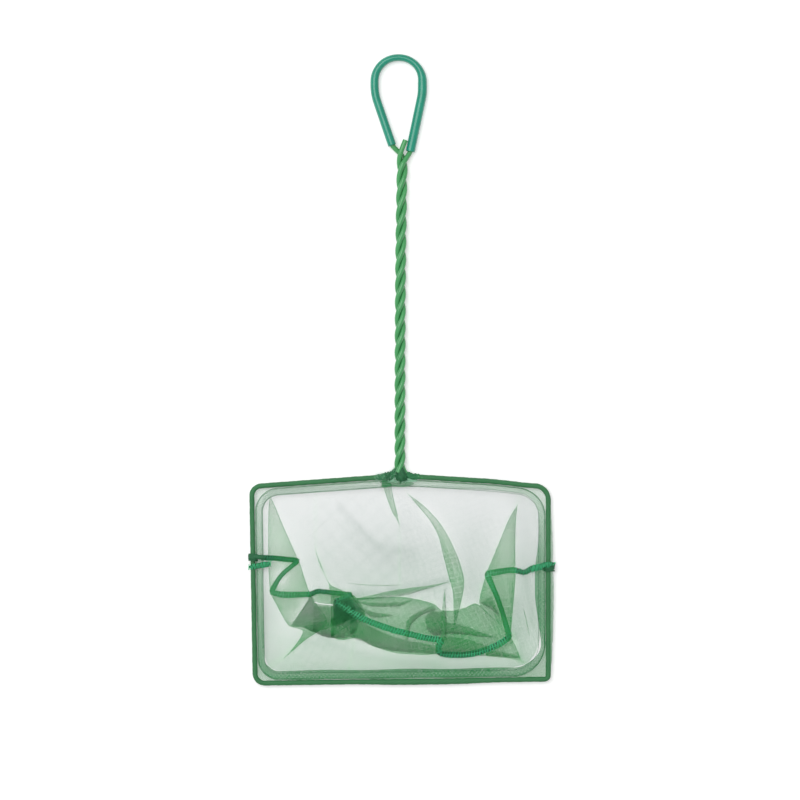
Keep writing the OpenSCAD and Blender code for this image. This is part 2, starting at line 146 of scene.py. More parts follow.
def tube(line, size, sides):
    """size is a radius, or half the width and half the height, for all points or for each."""
    size = np.broadcast_to(size, (len(line), 2))
    return swept(line, unit(np.gradient(line, axis=0)), size, sides, size.mean())


def wrinkled(line, sides, radius_of):
    """A tube whose radius depends on the length s along it and the angle a round it."""
    s, a = lengths(line)[:, None], np.arange(sides)[None] * 2 * math.pi / sides
    points, faces, uvs = tube(line, 1.0, sides)
    middle = np.repeat(line, sides, 0)
    return middle + (points - middle) * radius_of(s, a).reshape(-1, 1), faces, uvs


def strip(grid, uv):
    """A sheet through a grid of points: rows, columns, place."""
    i, j = np.meshgrid(*[np.arange(n - 1) for n in grid.shape[:2]], indexing="ij")
    a = (i * grid.shape[1] + j).ravel()
    faces = np.stack([a, a + grid.shape[1], a + grid.shape[1] + 1, a + 1], 1)
    return grid.reshape(-1, 3), faces.tolist(), uv.reshape(-1, 2)[faces].tolist()


def turned_uv(places, angle, shift=0.0):
    c, s = math.cos(angle), math.sin(angle)
    x, y = places[..., 0], places[..., 1]
    return np.stack([x * c + y * s, y * c - x * s], -1) + shift


def placed(name, data):
    obj = bpy.data.objects.new(name, data)
    bpy.context.scene.collection.objects.link(obj)
    return obj


def dress(obj, slot, *nodes):
    """Says what a piece stands for and what it rides on. Its slot is not used."""
    if nodes:
        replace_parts(obj, *nodes)
    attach(obj, "root")
    print(f"{obj.name}: {len(obj.data.vertices)} points, {len(obj.data.polygons)} faces")
    return obj


def give(obj, name, values):
    """Keeps a number for each point of a mesh, for its finish to read."""
    values = np.ravel(values).astype(float)
    obj.data.attributes.new(name, "FLOAT", "POINT").data.foreach_set("value", values)


def piece(name, parts, finish, slot, *nodes, closed=True):
    """One part, or several joined, as a piece that stands for the nodes."""
    points, faces, uvs, n = [], [], [], 0
    for p, f, u in parts if isinstance(parts, list) else [parts]:
        points.append(p * MM)
        faces += [[v + n for v in face] for face in f]
        uvs += u
        n += len(p)
    mesh = bpy.data.meshes.new(name)
    mesh.from_pydata(np.concatenate(points).tolist(), [], faces)
    layer = mesh.uv_layers.new(name="cloth")
    layer.data.foreach_set("uv", [c for face in uvs for corner in face for c in corner])
    mesh.materials.append(finish)
    obj = placed(name, mesh)
    if closed:
        b = bmesh.new()
        b.from_mesh(mesh)
        bmesh.ops.recalc_face_normals(b, faces=b.faces)
        b.to_mesh(mesh)
        b.free()
    mesh.shade_smooth()
    return dress(obj, slot, *nodes)


# %% [markdown]
# ## Node trees as plain sums
# Each operator on a Value adds one Math node, so a pattern is written as a sum.

# %% Values, trees and finishes
class Value:
    """A socket of a tree, for sums."""
    def __init__(self, owner, socket):
        self.owner, self.socket = owner, socket

    def __rsub__(self, other):
        return self.owner.math("SUBTRACT", other, self)


for method, operation in {"add": "ADD", "radd": "ADD", "sub": "SUBTRACT", "mul": "MULTIPLY",
                          "rmul": "MULTIPLY", "truediv": "DIVIDE"}.items():
    setattr(Value, f"__{method}__", lambda a, b, op=operation: a.owner.math(op, a, b))


class Nodes:
    """What trees of any kind share. self.tree is the tree itself."""
    def node(self, kind, values=(), out=0, **settings):
        """Adds a node, with its settings and what goes into it, and returns an output."""
        made = self.tree.nodes.new(kind)
        for key, setting in settings.items():
            setattr(made, key, setting)
        for key, value in dict(values).items():
            if isinstance(value, Value):
                self.tree.links.new(value.socket, made.inputs[key])
            else:
                made.inputs[key].default_value = value
        return Value(self, made.outputs[out]) if made.outputs else made

    def math(self, operation, *values):
        return self.node("ShaderNodeMath", enumerate(values), operation=operation)


def paint(red, green, blue):
    """A colour as a colour picker shows it, from 0 to 255, made linear for the shader."""
    return (*[(c / 255 / 12.92) if c <= 10 else ((c / 255 + 0.055) / 1.055) ** 2.4
              for c in (red, green, blue)], 1.0)


class Finish(Nodes):
    """The nodes of a material or a world. Colours of three numbers are for paint()."""
    def __init__(self, owner):
        owner.use_nodes = True
        self.owner, self.tree = owner, owner.node_tree
        self.tree.nodes.clear()

    def colours(self, factor, a, b):
        a, b = (paint(*c) if isinstance(c, tuple) and len(c) == 3 else c for c in (a, b))
        return self.node("ShaderNodeMix", {0: factor, 6: a, 7: b}, out=2, data_type="RGBA")

    def noise(self, place, scale, detail=2.0, out=0):
        return self.node("ShaderNodeTexNoise",
                         {"Vector": place, "Scale": scale, "Detail": detail}, out)

    def stretched(self, place, x, y, z=1.0):
        return self.node("ShaderNodeMapping", {"Vector": place, "Scale": (x, y, z)})

    def parts(self, place):
        xyz = self.node("ShaderNodeSeparateXYZ", {0: place})
        return [Value(self, s) for s in xyz.socket.node.outputs]

    def object_place(self):
        return self.node("ShaderNodeTexCoord", out="Object")

    def cloth_place(self):
        return self.node("ShaderNodeUVMap", uv_map="cloth")

    def given(self, name):
        return self.node("ShaderNodeAttribute", out="Fac", attribute_name=name)

    def clamp(self, value):
        return self.node("ShaderNodeClamp", {0: value})

    def saw(self, value):
        return self.math("ABSOLUTE", self.math("FRACT", value) - 0.5)

    def veiled_and_shaded(self, body):
        """Where the attribute veil is above 0 the colour is paler, as of net lying over it; below
        0 it is painted darker, as painted shade where the cloth is turned under.
        """
        veil_and_shade = self.given("veil_and_shade")
        body = self.colours(self.clamp(veil_and_shade * 0.7), body, (128, 184, 146))
        return self.colours(self.clamp(veil_and_shade * -0.7), body, (4, 62, 34))

    def done(self, height, depth_mm, **sockets):
        """Ends a material with a relief of that height and the sockets of its shader."""
        relief = {"Height": height, "Distance": depth_mm * MM, "Strength": 1.0}
        names = {k.replace("_", " "): v for k, v in sockets.items()}
        shader = self.node("ShaderNodeBsdfPrincipled",
                           {**names, "Normal": self.node("ShaderNodeBump", relief)})
        self.node("ShaderNodeOutputMaterial", {"Surface": shader})
        return self.owner


def finish(name):
    return Finish(bpy.data.materials.new(name))


# %% [markdown]
# ## Plastics and steel
# Faint lines along the coating, and its uneven gloss, are noise stretched along the UV map.
# The sleeve is a softer, bluer tube.

# %% Coating, sleeve and steel
def drawn_plastic(name, deep, light, lines_mm, depth_mm):
    f = finish(name)
    place, along = f.object_place(), f.cloth_place()
    cloudy = f.noise(place, 140.0)
    lines = f.noise(f.stretched(along, 0.02, 1 / lines_mm), 1.0, 3.0)
    grain = f.noise(place, 2600.0)
    return f.done(lines * 0.7 + grain * 0.3, depth_mm,
                  Base_Color=f.colours(cloudy * 0.5 + lines * 0.5, deep, light),
                  Roughness=0.2 + lines * 0.14 + grain * 0.06, IOR=1.5, Coat_Weight=0.3,
                  Coat_Roughness=0.12)


coating = drawn_plastic("green_coating", (46, 130, 70), (84, 176, 106), 0.5, 0.04)
sleeve_plastic = drawn_plastic("teal_sleeve", (2, 116, 92), (22, 164, 134), 0.9, 0.05)

f = finish("drawn_steel")
brushed = f.noise(f.stretched(f.object_place(), 3000.0, 300.0, 3000.0), 1.0)
steel = f.done(brushed, 0.02, Metallic=1.0, Roughness=0.3 + brushed * 0.2,
               Base_Color=f.colours(brushed, (150, 152, 155), (196, 198, 200)))

# %% [markdown]
# ## Mesh cloth
# The sheet is plain, and its material cuts the holes of the net: a thread lies in every
# pitch along and across the cloth, and elsewhere Alpha is zero. Layers then darken one
# another as in the photo.

# %% Net cloth with holes
PITCH_MM, WANDER = 0.7, 0.12


def net_cloth(name, pale, deep, light, share, share_low, closer=True):
    """share of a mesh that its thread takes; share_low is its value at the frame's foot, towards
    which the thread is also painted greener: painted shade, darker towards the foot.
    Where flaps lie on one another, the attribute crowd grows and the thread is painted greener,
    and above 1 also darker, as painted shade of the stacked layers. With closer, the attribute
    closeness scales the share; it carries real closeness and painted shade."""
    f = finish(name)
    place = f.object_place()
    uneven = f.noise(place, 60.0)
    shift = f.node("ShaderNodeVectorMath", {
        0: f.noise(place, 220.0, out="Color"), "Scale": WANDER}, operation="SCALE")
    x, y, _ = f.parts(f.node("ShaderNodeVectorMath", {0: f.cloth_place(), 1: shift},
                             operation="ADD"))
    right, up, _ = f.parts(place)
    # Painted shade: towards the frame's foot the thread takes more of the mesh and is greener.
    down = f.math("POWER", f.clamp((up + 0.075) * (-1 / 0.125)), 1.1)
    half = (share / 2 + down * ((share_low - share) / 2)) * (0.95 + right * 1.5 + uneven * 0.1)
    if closer:
        half *= f.given("closeness_and_shade")
    near = f.math("MINIMUM", *[f.saw(c / PITCH_MM) for c in (x, y)])
    many = f.clamp(f.given("crowd") + down * 0.7)
    body = f.colours(many, pale, f.colours(uneven, deep, light))
    # Painted shade: where many layers lie on one another the thread is painted a darker green.
    body = f.colours(f.clamp(f.given("crowd") - 1), body, (38, 126, 80))
    return f.done(1 - near / half, 0.02, Base_Color=body, Roughness=0.45 + uneven * 0.1,
                  Alpha=f.math("LESS_THAN", near, half))


# %% [markdown]
# Where cloth is folded over the wire, the threads of several layers fill one another's
# gaps. That finish is opaque, with the weave in its colour and relief.

# %% Folded cloth and thread
def folded_cloth(name, deep, light, pitch_mm, depth_mm):
    f = finish(name)
    place = f.object_place()
    x, y, _ = f.parts(f.cloth_place())
    wave = [f.saw(c / pitch_mm) * 2 for c in (x + y * 0.35, y - x * 0.2)]
    weave, worn = wave[0] * wave[1], f.noise(place, 90.0, 3.0)
    return f.done(weave + worn * 0.5, depth_mm, Roughness=0.55 + worn * 0.2,
                  Base_Color=f.veiled_and_shaded(f.colours(weave * 0.55 + worn * 0.45, deep, light)))


def spun_thread(name, deep, light):
    f = finish(name)
    x, y, _ = f.parts(f.cloth_place())
    ply = f.saw(x * 1.6 + y * 1.2) * 2
    hairy = f.noise(f.object_place(), 900.0)
    return f.done(ply, 0.08, Roughness=0.5 + hairy * 0.2,
                  Base_Color=f.veiled_and_shaded(f.colours(ply * 0.6 + hairy * 0.4, deep, light)))


bag_cloth = net_cloth("bag_net", (112, 132, 130), (26, 140, 62), (56, 180, 94), 0.075, 0.14)
web_cloth = net_cloth("hem_net", (70, 150, 95), (30, 130, 60), (60, 166, 88), 0.12, 0.26,
                      closer=False)
band_cloth = net_cloth("band_net", (84, 168, 110), (24, 118, 60), (52, 156, 88), 0.1, 0.34)
casing_cloth = folded_cloth("casing_net", (30, 98, 54), (72, 142, 90), 0.9, 0.1)
seam_cloth = folded_cloth("seam_net", (2, 66, 38), (18, 112, 68), 0.7, 0.12)
gather_cloth = folded_cloth("bunched_net", (12, 88, 48), (62, 150, 96), 0.9, 0.2)
knot_cloth = folded_cloth("knot_net", (2, 66, 34), (40, 126, 76), 0.9, 0.2)
thread = spun_thread("green_thread", (20, 140, 84), (72, 204, 140))
pale_thread = spun_thread("pale_thread", (110, 180, 140), (176, 220, 192))
# A near-white thread finish for the painted highlight line between the lobe and the seam.
white_thread = spun_thread("white_thread", (216, 232, 220), (240, 248, 242))
dark_thread = spun_thread("dark_thread", (16, 84, 50), (44, 120, 76))
edge_thread = spun_thread("edge_thread", (40, 116, 66), (70, 148, 96))
crease_thread = spun_thread("crease_net", (70, 150, 92), (110, 178, 126))
print("finishes:", [m.name for m in bpy.data.materials if m.use_nodes])

# %% [markdown]
# ## Camera, floor and light
# A long lens 2 m above the net gives the photograph's flat view. The floor is white, a
# little whiter to the camera and in reflections, and keeps the soft shadow. With a pale sky
# and one large lamp, colours come out about as they are written.

# %% Camera, floor, lamp and sky
VIEW_MM, FAR_MM, NET_TOP_MM, MIDDLE_Y_MM = 533.3, 2000.0, 3.7, -20.4
FLOOR_MM, FLOOR_Z = 6000.0, -0.05
eye = bpy.data.cameras.new("camera")
eye.lens = eye.sensor_width * FAR_MM / VIEW_MM
bpy.context.scene.camera = placed("camera", eye)
bpy.context.scene.camera.location = (0, MIDDLE_Y_MM * MM, (FAR_MM + NET_TOP_MM) * MM)

corners = np.array([[-1, -1], [1, -1], [1, 1], [-1, 1]]) * FLOOR_MM / 2
floor_mesh = bpy.data.meshes.new("floor")
floor_mesh.from_pydata((lift(corners, FLOOR_Z) * MM).tolist(), [], [[0, 1, 2, 3]])
f = finish("white_floor")
seen = f.math("MAXIMUM", *[f.node("ShaderNodeLightPath", out=f"Is {ray} Ray")
                           for ray in ("Camera", "Glossy")])
f.node("ShaderNodeOutputMaterial", {"Surface": f.node("ShaderNodeBsdfPrincipled", {
    "Base Color": (0.86, 0.86, 0.86, 1), "Roughness": 1.0, "Emission Strength": 1.0,
    "Emission Color": f.colours(seen, (0, 0, 0, 1), (0.3, 0.3, 0.3, 1))})})
floor_mesh.materials.append(f.owner)
placed("floor", floor_mesh)

lamp = bpy.data.lights.new("softbox", "AREA")
lamp.energy, lamp.shape, lamp.size = 17.0, "SQUARE", 1.3
lamp_holder = placed("softbox", lamp)
lamp_holder.location = (-0.5, 0.4, 1.5)
lamp_holder.rotation_euler = (-lamp_holder.location).to_track_quat("-Z", "Y").to_euler()

sky = Finish(bpy.data.worlds.new("sky"))
bpy.context.scene.world = sky.owner
plain, bright = [sky.node("ShaderNodeBackground", {"Color": (1, 1, 1, 1), "Strength": s})
                 for s in (0.55, 1.0)]
sky.node("ShaderNodeOutputWorld", {"Surface": sky.node("ShaderNodeMixShader", {
    0: sky.node("ShaderNodeLightPath", out="Is Camera Ray"), 1: plain, 2: bright})})
bpy.context.scene.view_settings.view_transform = "Standard"
print("lens in mm:", round(eye.lens, 1))

# %% [markdown]
# ## The wire's own line
# From its cut end in the throat of the hand loop the wire winds down the handle, goes round
# the frame, winds up, goes round the loop and winds down once more. The sizes are those of
# the CAD solids, whose boxes tell where the origin is.

# %% Sizes of the wire, in mm
WIRE_R, CORE_R, AXIS_Z, TWIST_R = 1.675, 1.175, 3.746, 2.071
TWIST_LEN, TURNS, LEAN, TIGHTEN = 201.3, 6, 1.5, 0.09
LOOP_W, LOOP_H, LOOP_Z, LOOP_OFF, SLEEVE_R, SLEEVE_WALL = 31.9, 71.1, 3.11, 2.5, 3.1, 0.9
FRAME_W, LEFT_SIDE, RIGHT_SIDE, LEFT_LEAN = 197.7, 131.1, 129.5, 2.3
NECK_DROP, LEFT_FALL, RIGHT_FALL = 6.4, 7.2, 6.1
CORNER_R = {"top_right": 9.0, "bottom_right": 2.6, "bottom_left": 6.5, "top_left": 6.5}
origin = np.array([0.0, TWIST_LEN + LOOP_H + SLEEVE_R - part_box("loop_sleeve")[1][1] / MM])

neck = np.array([0, -NECK_DROP]) - origin
top_right = neck + [FRAME_W / 2, -RIGHT_FALL]
bottom_right = top_right + [0, -RIGHT_SIDE]
top_left = neck + [-FRAME_W / 2, -LEFT_FALL]
bottom_left = top_left + [LEFT_LEAN, -LEFT_SIDE]
left_way, right_way = unit(top_left - neck), unit(top_right - neck)
left_root, right_root = neck + left_way * 4.8 * WIRE_R, neck + right_way * 4.8 * WIRE_R
twist_end = np.array([LEAN, TWIST_LEN]) - origin
left_mouth, right_mouth = twist_end + [-6.7, 12.6], twist_end + [5.3, 8.5]
loop_left, loop_right = LEAN - LOOP_OFF - LOOP_W / 2, LEAN - LOOP_OFF + LOOP_W / 2
loop_top = TWIST_LEN + LOOP_H - origin[1]
shoulder_y = loop_top - LOOP_W / 2 - 8


# %% The three strands
def bridge(a, along_a, b, along_b, reach):
    """A smooth lead from a to b. The larger reach is, the later it turns."""
    m = reach * np.linalg.norm(b - a)
    return hermite(np.linspace(0, 1, 17)[:, None], a, m * np.array(along_a), b,
                   m * np.array(along_b))


def strand(phase, u):
    """Points of a strand at the shares u of the handle, from the neck up."""
    u = np.atleast_1d(u)
    a = np.radians(phase + 360 * TURNS * (u + TIGHTEN * u * (1 - u)))
    return np.stack([LEAN * u**3 + TWIST_R * np.sin(a) - origin[0],
                     TWIST_LEN * u - origin[1], AXIS_Z + TWIST_R * np.cos(a)], 1)


def strand_way(phase, u):
    return unit(strand(phase, u + 1e-4) - strand(phase, u))[0]


def from_root(root, way, phase):
    return bridge(np.append(root, AXIS_Z), [*-way, 0], strand(phase, 0)[0],
                  strand_way(phase, 0), 1.17)[:-1]


def climbing(phase, top, end, way, reach):
    """A strand from the foot of the handle to its share top, and on to its end."""
    return [strand(phase, np.linspace(0, 1, TURNS * 32 + 1) * top),
            bridge(strand(phase, top)[0], strand_way(phase, top), end, way, reach)[1:]]


RIGHT_PHASE, LEFT_PHASE, CUT_PHASE = 11, 131, -109
right_leg = unit(np.array([loop_right, shoulder_y]) - right_mouth)
left_leg = unit(np.array([loop_left, shoulder_y]) - left_mouth)
cut_strand = np.concatenate([from_root(left_root, left_way, CUT_PHASE)] + climbing(
    CUT_PHASE, 1 + 3 / 72, np.append(twist_end + [2.2, 16], 5.84), unit([0.42, 1, 0.12]), 1.0))
left_strand = np.concatenate([from_root(right_root, right_way, LEFT_PHASE)] + climbing(
    LEFT_PHASE, 1 + 2 / 72, np.append(left_mouth, LOOP_Z), [*left_leg, 0], 0.3))
foot = strand_way(RIGHT_PHASE, 0) * np.linspace(1, 0.1, 6)[:, None]
right_strand = np.concatenate([strand(RIGHT_PHASE, 0) - 2.8 * WIRE_R * foot] + climbing(
    RIGHT_PHASE, 1, np.append(right_mouth, LOOP_Z), [*right_leg, 0], 0.3))


# %% The frame, the hand loop and the whole wire
def bent(line):
    """The top bar isn't quite straight: it sinks a little towards its right corner."""
    x, y = line.T
    return line - np.stack([0 * x, 1.2 * soft((x - 58) / 32) * soft((y + 118) / 34)], 1)


FRAME_POINTS, HEM_POINTS = (30, 10), (40, 14)  # on each leg and on each bend
frame_flat = bent(rounded([right_root, top_right, bottom_right, bottom_left, top_left, left_root],
                          CORNER_R.values(), *FRAME_POINTS))
bend_r = 0.98 * LOOP_W / 2
loop_flat = rounded([left_mouth, [loop_left, shoulder_y], [loop_left, loop_top],
                     [loop_right, loop_top], [loop_right, shoulder_y], right_mouth],
                    [35, bend_r, bend_r, 35], 10, 16)
wire_line = np.concatenate([
    cut_strand[::-1], lift(frame_flat[::-1], AXIS_Z)[1:-1], left_strand,
    lift(loop_flat, LOOP_Z)[1:-1], right_strand[::-1]])
wire_line = wire_line[np.append(True, np.diff(lengths(wire_line)) > 0.05)]
print("wire length in mm:", round(lengths(wire_line)[-1]), "points:", len(wire_line))

# %% [markdown]
# ## Coated wire
# At a cut one sees a ring of plastic with bright metal in it. So the coating is a skin that
# turns in at both ends over a small round edge, and the steel stops just short of the cut.

# %% Coating with turned-in ends, and its core
EDGE, DEEP = 0.25, 2.0


def end_rings(line, radius, bore):
    """Places and sizes from inside the bore, over the edge, to the outside."""
    t = np.radians([90, 60, 30, 0])
    back = np.concatenate([[DEEP, 0], EDGE * (1 - np.sin(t))])
    return (line[0] - np.outer(back, unit(line[0] - line[1])),
            np.concatenate([[bore, bore], radius - EDGE + EDGE * np.cos(t)]))


def skinned(line, radius, bore, sides, wide, high):
    """A tube with an open bore at each end. wide and high scale its section along it."""
    head, head_size = end_rings(line, radius, bore)
    tail, tail_size = end_rings(line[::-1], radius, bore)
    pad = len(head) - 1
    places = np.concatenate([head, line[1:-1], tail[::-1]])
    size = np.concatenate([head_size, np.full(len(line) - 2, radius), tail_size[::-1]])
    size = np.stack([size * np.pad(v, pad, "edge") for v in (wide, high)], 1)
    way = unit(np.gradient(np.pad(line, ((pad, pad), (0, 0)), "edge"), axis=0) + 1e-12)
    way[:pad], way[-pad:] = unit(line[1] - line[0]), unit(line[-1] - line[-2])
    return swept(places, way, size, sides, size.max())


RUNS = ["cut_strand", "left_strand", "right_strand", "frame", "loop"]
steel_line = wire_line.copy()
steel_line[0] += unit(wire_line[1] - wire_line[0]) * 0.2
piece("wire_core", tube(steel_line, CORE_R, 12), steel, "steel", *[r + "_core" for r in RUNS])
pressed = 1 - 0.08 * soft((-wire_line[:, 1] - 70.5) / 3)
piece("wire_coating", skinned(wire_line, WIRE_R, CORE_R + 0.03, 20, pressed, pressed),
      coating, "wire_coating", *[r + "_coat" for r in RUNS])

# %% [markdown]
# ## Sleeve
# The sleeve was pushed over the wire before the loop was bent. At the top it has gone a
# little flat: narrower across, and taller.

# %% Sleeve, flatter at the top of the loop
sleeve_line = even(lift(loop_flat, LOOP_Z), 1.0)
s = lengths(sleeve_line) / lengths(sleeve_line)[-1]
top_bend = hump((s - 0.51) / 0.13, 4)
sleeve_line[:, 2] += 0.12 * top_bend
piece("loop_sleeve_skin", skinned(
    sleeve_line, SLEEVE_R, SLEEVE_R - SLEEVE_WALL, 32,
    wide=1 - 0.25 * top_bend - 0.1 * soft((0.42 - s) / 0.06), high=1 + 0.03 * top_bend),
    sleeve_plastic, "sleeve", "loop_sleeve")

# %% [markdown]
# ## Cloth round the frame
# Each panel's edge is folded over the wire and stitched down: a casing along the wire's
# line, whose radius varies by slow waves. In the corners the hem takes a shorter way, and a
# web of single net shows between it and the wire.

# %% Lines that keep a distance inside the frame
left_join = top_left + 0.36 * (bottom_left - top_left)
right_join = top_right + 0.423 * (bottom_right - top_right)


def joint(side, d, u):
    """A place d inside the side's wire and u past where the seam meets it, clockwise."""
    join, way = ((left_join, unit(top_left - bottom_left)) if side == "left" else
                 (right_join, unit(bottom_right - top_right)))
    return join + np.array([way[1], -way[0]]) * d + way * u


def inside(half, d, gap, radii, legs, bends):
    """The line d inside the upper or the lower half of the frame."""
    ring = [neck, top_right, bottom_right, bottom_left, top_left]
    c = []
    for i, v in enumerate(ring):
        a, b = unit(ring[i - 1] - v), unit(ring[(i + 1) % 5] - v)
        c.append(v + unit(a + b) * d / math.sin(math.acos(float(a @ b)) / 2))
    ends = [joint("left", d, gap), joint("right", d, -gap)]
    if half == "lower":
        ends = [joint("right", d, gap), joint("left", d, -gap)]
    turns = [c[4], c[0], c[1]] if half == "upper" else [c[2], c[3]]
    return bent(rounded([ends[0], *turns, ends[1]], radii, legs, bends))


# %% Wrinkled casings
def casing(name, corners, turns):
    line = even(bent(rounded(corners, [CORNER_R[t] for t in turns], *FRAME_POINTS)), 0.8)
    s = lengths(line)[:, None]
    loose = hump((line[:, :1] - 18) / 36, 4) * soft((-line[:, 1:] - 200) / 4)

    def radius(_, a):
        return 1.68 + 0.35 * loose + (
            0.05 * np.sin(s * 0.9 + 2 * a) + 0.035 * np.sin(s * 0.37 - 3 * a + 1)
            + 0.035 * np.sin(s * 2.3 + a + 0.7 * np.sin(s * 0.21)))
    line = lift(line - loose * [0, 0.5], AXIS_Z)
    piece("casing_wrap_" + name, wrinkled(line, 20, radius), casing_cloth, "casing_mesh",
          "casing_" + name)


casing("upper_left", [joint("left", 0, 0.3), top_left, neck + left_way * 16], ["top_left"])
casing("upper_right", [neck + right_way * 13, top_right, joint("right", 0, -0.3)], ["top_right"])
casing("lower", [joint("right", 0, 0.3), bottom_right, bottom_left, joint("left", 0, -0.3)],
       ["bottom_right", "bottom_left"])

# %% [markdown]
# ## Hem bands
# The hem is two layers of net, pressed flat, with a fold on the inside. Its section is a
# flat loop, so light passes two layers and it looks darker.

# %% Hem bands and the web between hem and wire
HEM_IN, HEM_W, HEM_T, HEM_GAP, WEB_IN = 4.83, 5.3, 0.5, 0.3, 1.2
HEM_RADII = {"upper": [13.5, 61.5, 16.0], "lower": [19.0, 11.5]}
WEB_RADII = {"upper": [6.5, 61.5, 9.0], "lower": [3.9, 6.5]}


def wider(line, share):
    """The band isn't equally wide all round: its inner edge wanders a little."""
    x, y = line.T
    at_foot = soft((-y - 196) / 4)
    left = soft((x - 84) / 6) * (1.3 * hump((y + 142) / 17, 4) - 1.6 * hump((y + 104) / 15)
                                 - 2.8 * hump((y + 183) / 14))
    left += (0.5 + 0.5 * soft((-y - 120) / 25)) * soft((-x - 84) / 6)
    up = (0.5 + 0.8 * soft(x / 20) + 0.6 * soft((x - 36) / 24)) * soft((y + 94) / 6)
    up += at_foot * (0.4 + 0.25 * np.sin(x * 0.11 + 1))
    return line + share * np.stack([-left, up], 1)


def hem_radii(half, d):
    """Corner radii of a line d inside the wire; the wide bend at the neck stays as it is."""
    return [r if r > 50 else r + HEM_IN - d for r in HEM_RADII[half]]


def hem(half):
    across = np.array([0.0, 0.12, 0.35, 0.6, 0.85, 0.97, 1.0, 0.97, 0.85, 0.6, 0.35, 0.1])
    rise = np.array([0.15, 0.3, 0.34, 0.3, 0.36, 0.26, 0.0, -0.26, -0.3, -0.28, -0.3, -0.2])
    grid = []
    for x, z in zip(across, rise):
        d = HEM_IN - HEM_W / 2 + x * HEM_W
        line = inside(half, d, HEM_GAP, hem_radii(half, d), *HEM_POINTS)
        s = lengths(line)
        ripple = 0.08 * np.sin(s * 0.8 + 2 * x) + 0.06 * np.sin(s * 0.29)
        grid.append(lift(wider(line, x), AXIS_Z + z * (HEM_T + 0.3) + ripple))
    grid = np.array(grid)
    reach = lengths(across[:, None]) * HEM_W
    uv = np.stack(np.broadcast_arrays(lengths(grid[0])[None], reach[:, None] + 0.3), 2)
    band = piece("hem_band_" + half, strip(grid, turned_uv(uv, 0.6)), band_cloth, "hem_mesh",
                 "hem_" + half, closed=False)
    x, y, z = grid.transpose(2, 0, 1)
    # The band's closeness is higher towards the wire at the frame's foot and lower at its lower
    # right, so it is darker and paler there.
    give(band, "closeness_and_shade", 1.02 + soft((-y - 196) / 6) * 0.4 * (0.5 - across[:, None])
         - 0.3 * soft((x - 50) / 25) * soft((-y - 172) / 14))
    cords = [tube(grid[k] + [0, 0, 0.05], r, 6) for k, r in ((0, 0.18), (1, 0.12), (6, 0.1))]
    piece(f"hem_band_{half}_edges", cords, edge_thread, "thread", closed=False)
    return band


def web(half):
    grid = []
    for t in np.linspace(0, 1, 5):
        d = WEB_IN + (HEM_IN - HEM_W / 2 + 0.8 - WEB_IN) * t
        r = [(1 - t) * (w - WEB_IN) + t * q
             for q, w in zip(hem_radii(half, HEM_IN - 1.8), WEB_RADII[half])]
        grid.append(lift(inside(half, d, HEM_GAP, r, *HEM_POINTS),
                         AXIS_Z + 0.5 - 0.55 * t - 0.5 * math.sin(math.pi * t)))
    grid = np.array(grid)
    return piece("corner_web_" + half, strip(grid, grid[:, :, :2]), web_cloth, "hem_mesh",
                 closed=False)


hems = {half: [hem(half)] for half in ("upper", "lower")}
for half, cloth in hems.items():
    cloth.append(web(half))

# %% [markdown]
# On the right the cloth isn't pulled tight round the wire: a narrow lip of it leaves the
# wire, bulges out and returns.

# %% Slack lip outside the right bar
lip_y = np.linspace(-87, -205, 60)
bulge = 2.6 * np.sin(np.linspace(0, math.pi, 60)) ** 0.7 * (
    1 - 0.25 * hump((lip_y + 131) / 6)) + 0.12 * np.sin(lip_y * 0.9)
bar_x = top_right[0] + 1.2
lip = np.stack([np.stack([bar_x + bulge * share, lip_y, AXIS_Z + rise + 0 * lip_y], 1)
                for share, rise in ((0, 1.1), (0.5, 0.9), (0.9, 0.5), (1, 0), (0.9, -0.5),
                                    (0.5, -0.9), (0, -1.1))])
slack = piece("casing_slack_right", strip(lip, lip[:, :, 1::-1]), band_cloth, "casing_mesh",
              closed=False)
give(slack, "closeness_and_shade", np.full(lip[:, :, 0].size, 0.75))

# %% [markdown]
# ## How the bag lies
# A net that is laid down falls into a flat heap. Its two panels are sewn together along one
# seam from side wire to side wire. Each hangs down past the seam and comes back to it from
# its own side, so the heap is a flat letter Z, with a deep pleat at either end. A simulation
# would fold it its own way, so the folds are laid out one by one, as in a paper model. Each
# row of a plan is one column of the panel, from the mouth (0) over the fold of the Z (6) to
# the seam (7). Each entry is such a number with its place, in steps of the straight-down
# view. A panel turns over at its columns in FOLDS.

# %% Fold plan
def table(text):
    """Rows that end with a semicolon, of entries that end with a comma, as numbers."""
    return [[[float(n) for n in entry.split()] for entry in row.split(",")]
            for row in text.split(";")]


def spots(places):
    """Places of a table in mm, to a tenth."""
    return np.round(px(*np.array(places).T), 1).T


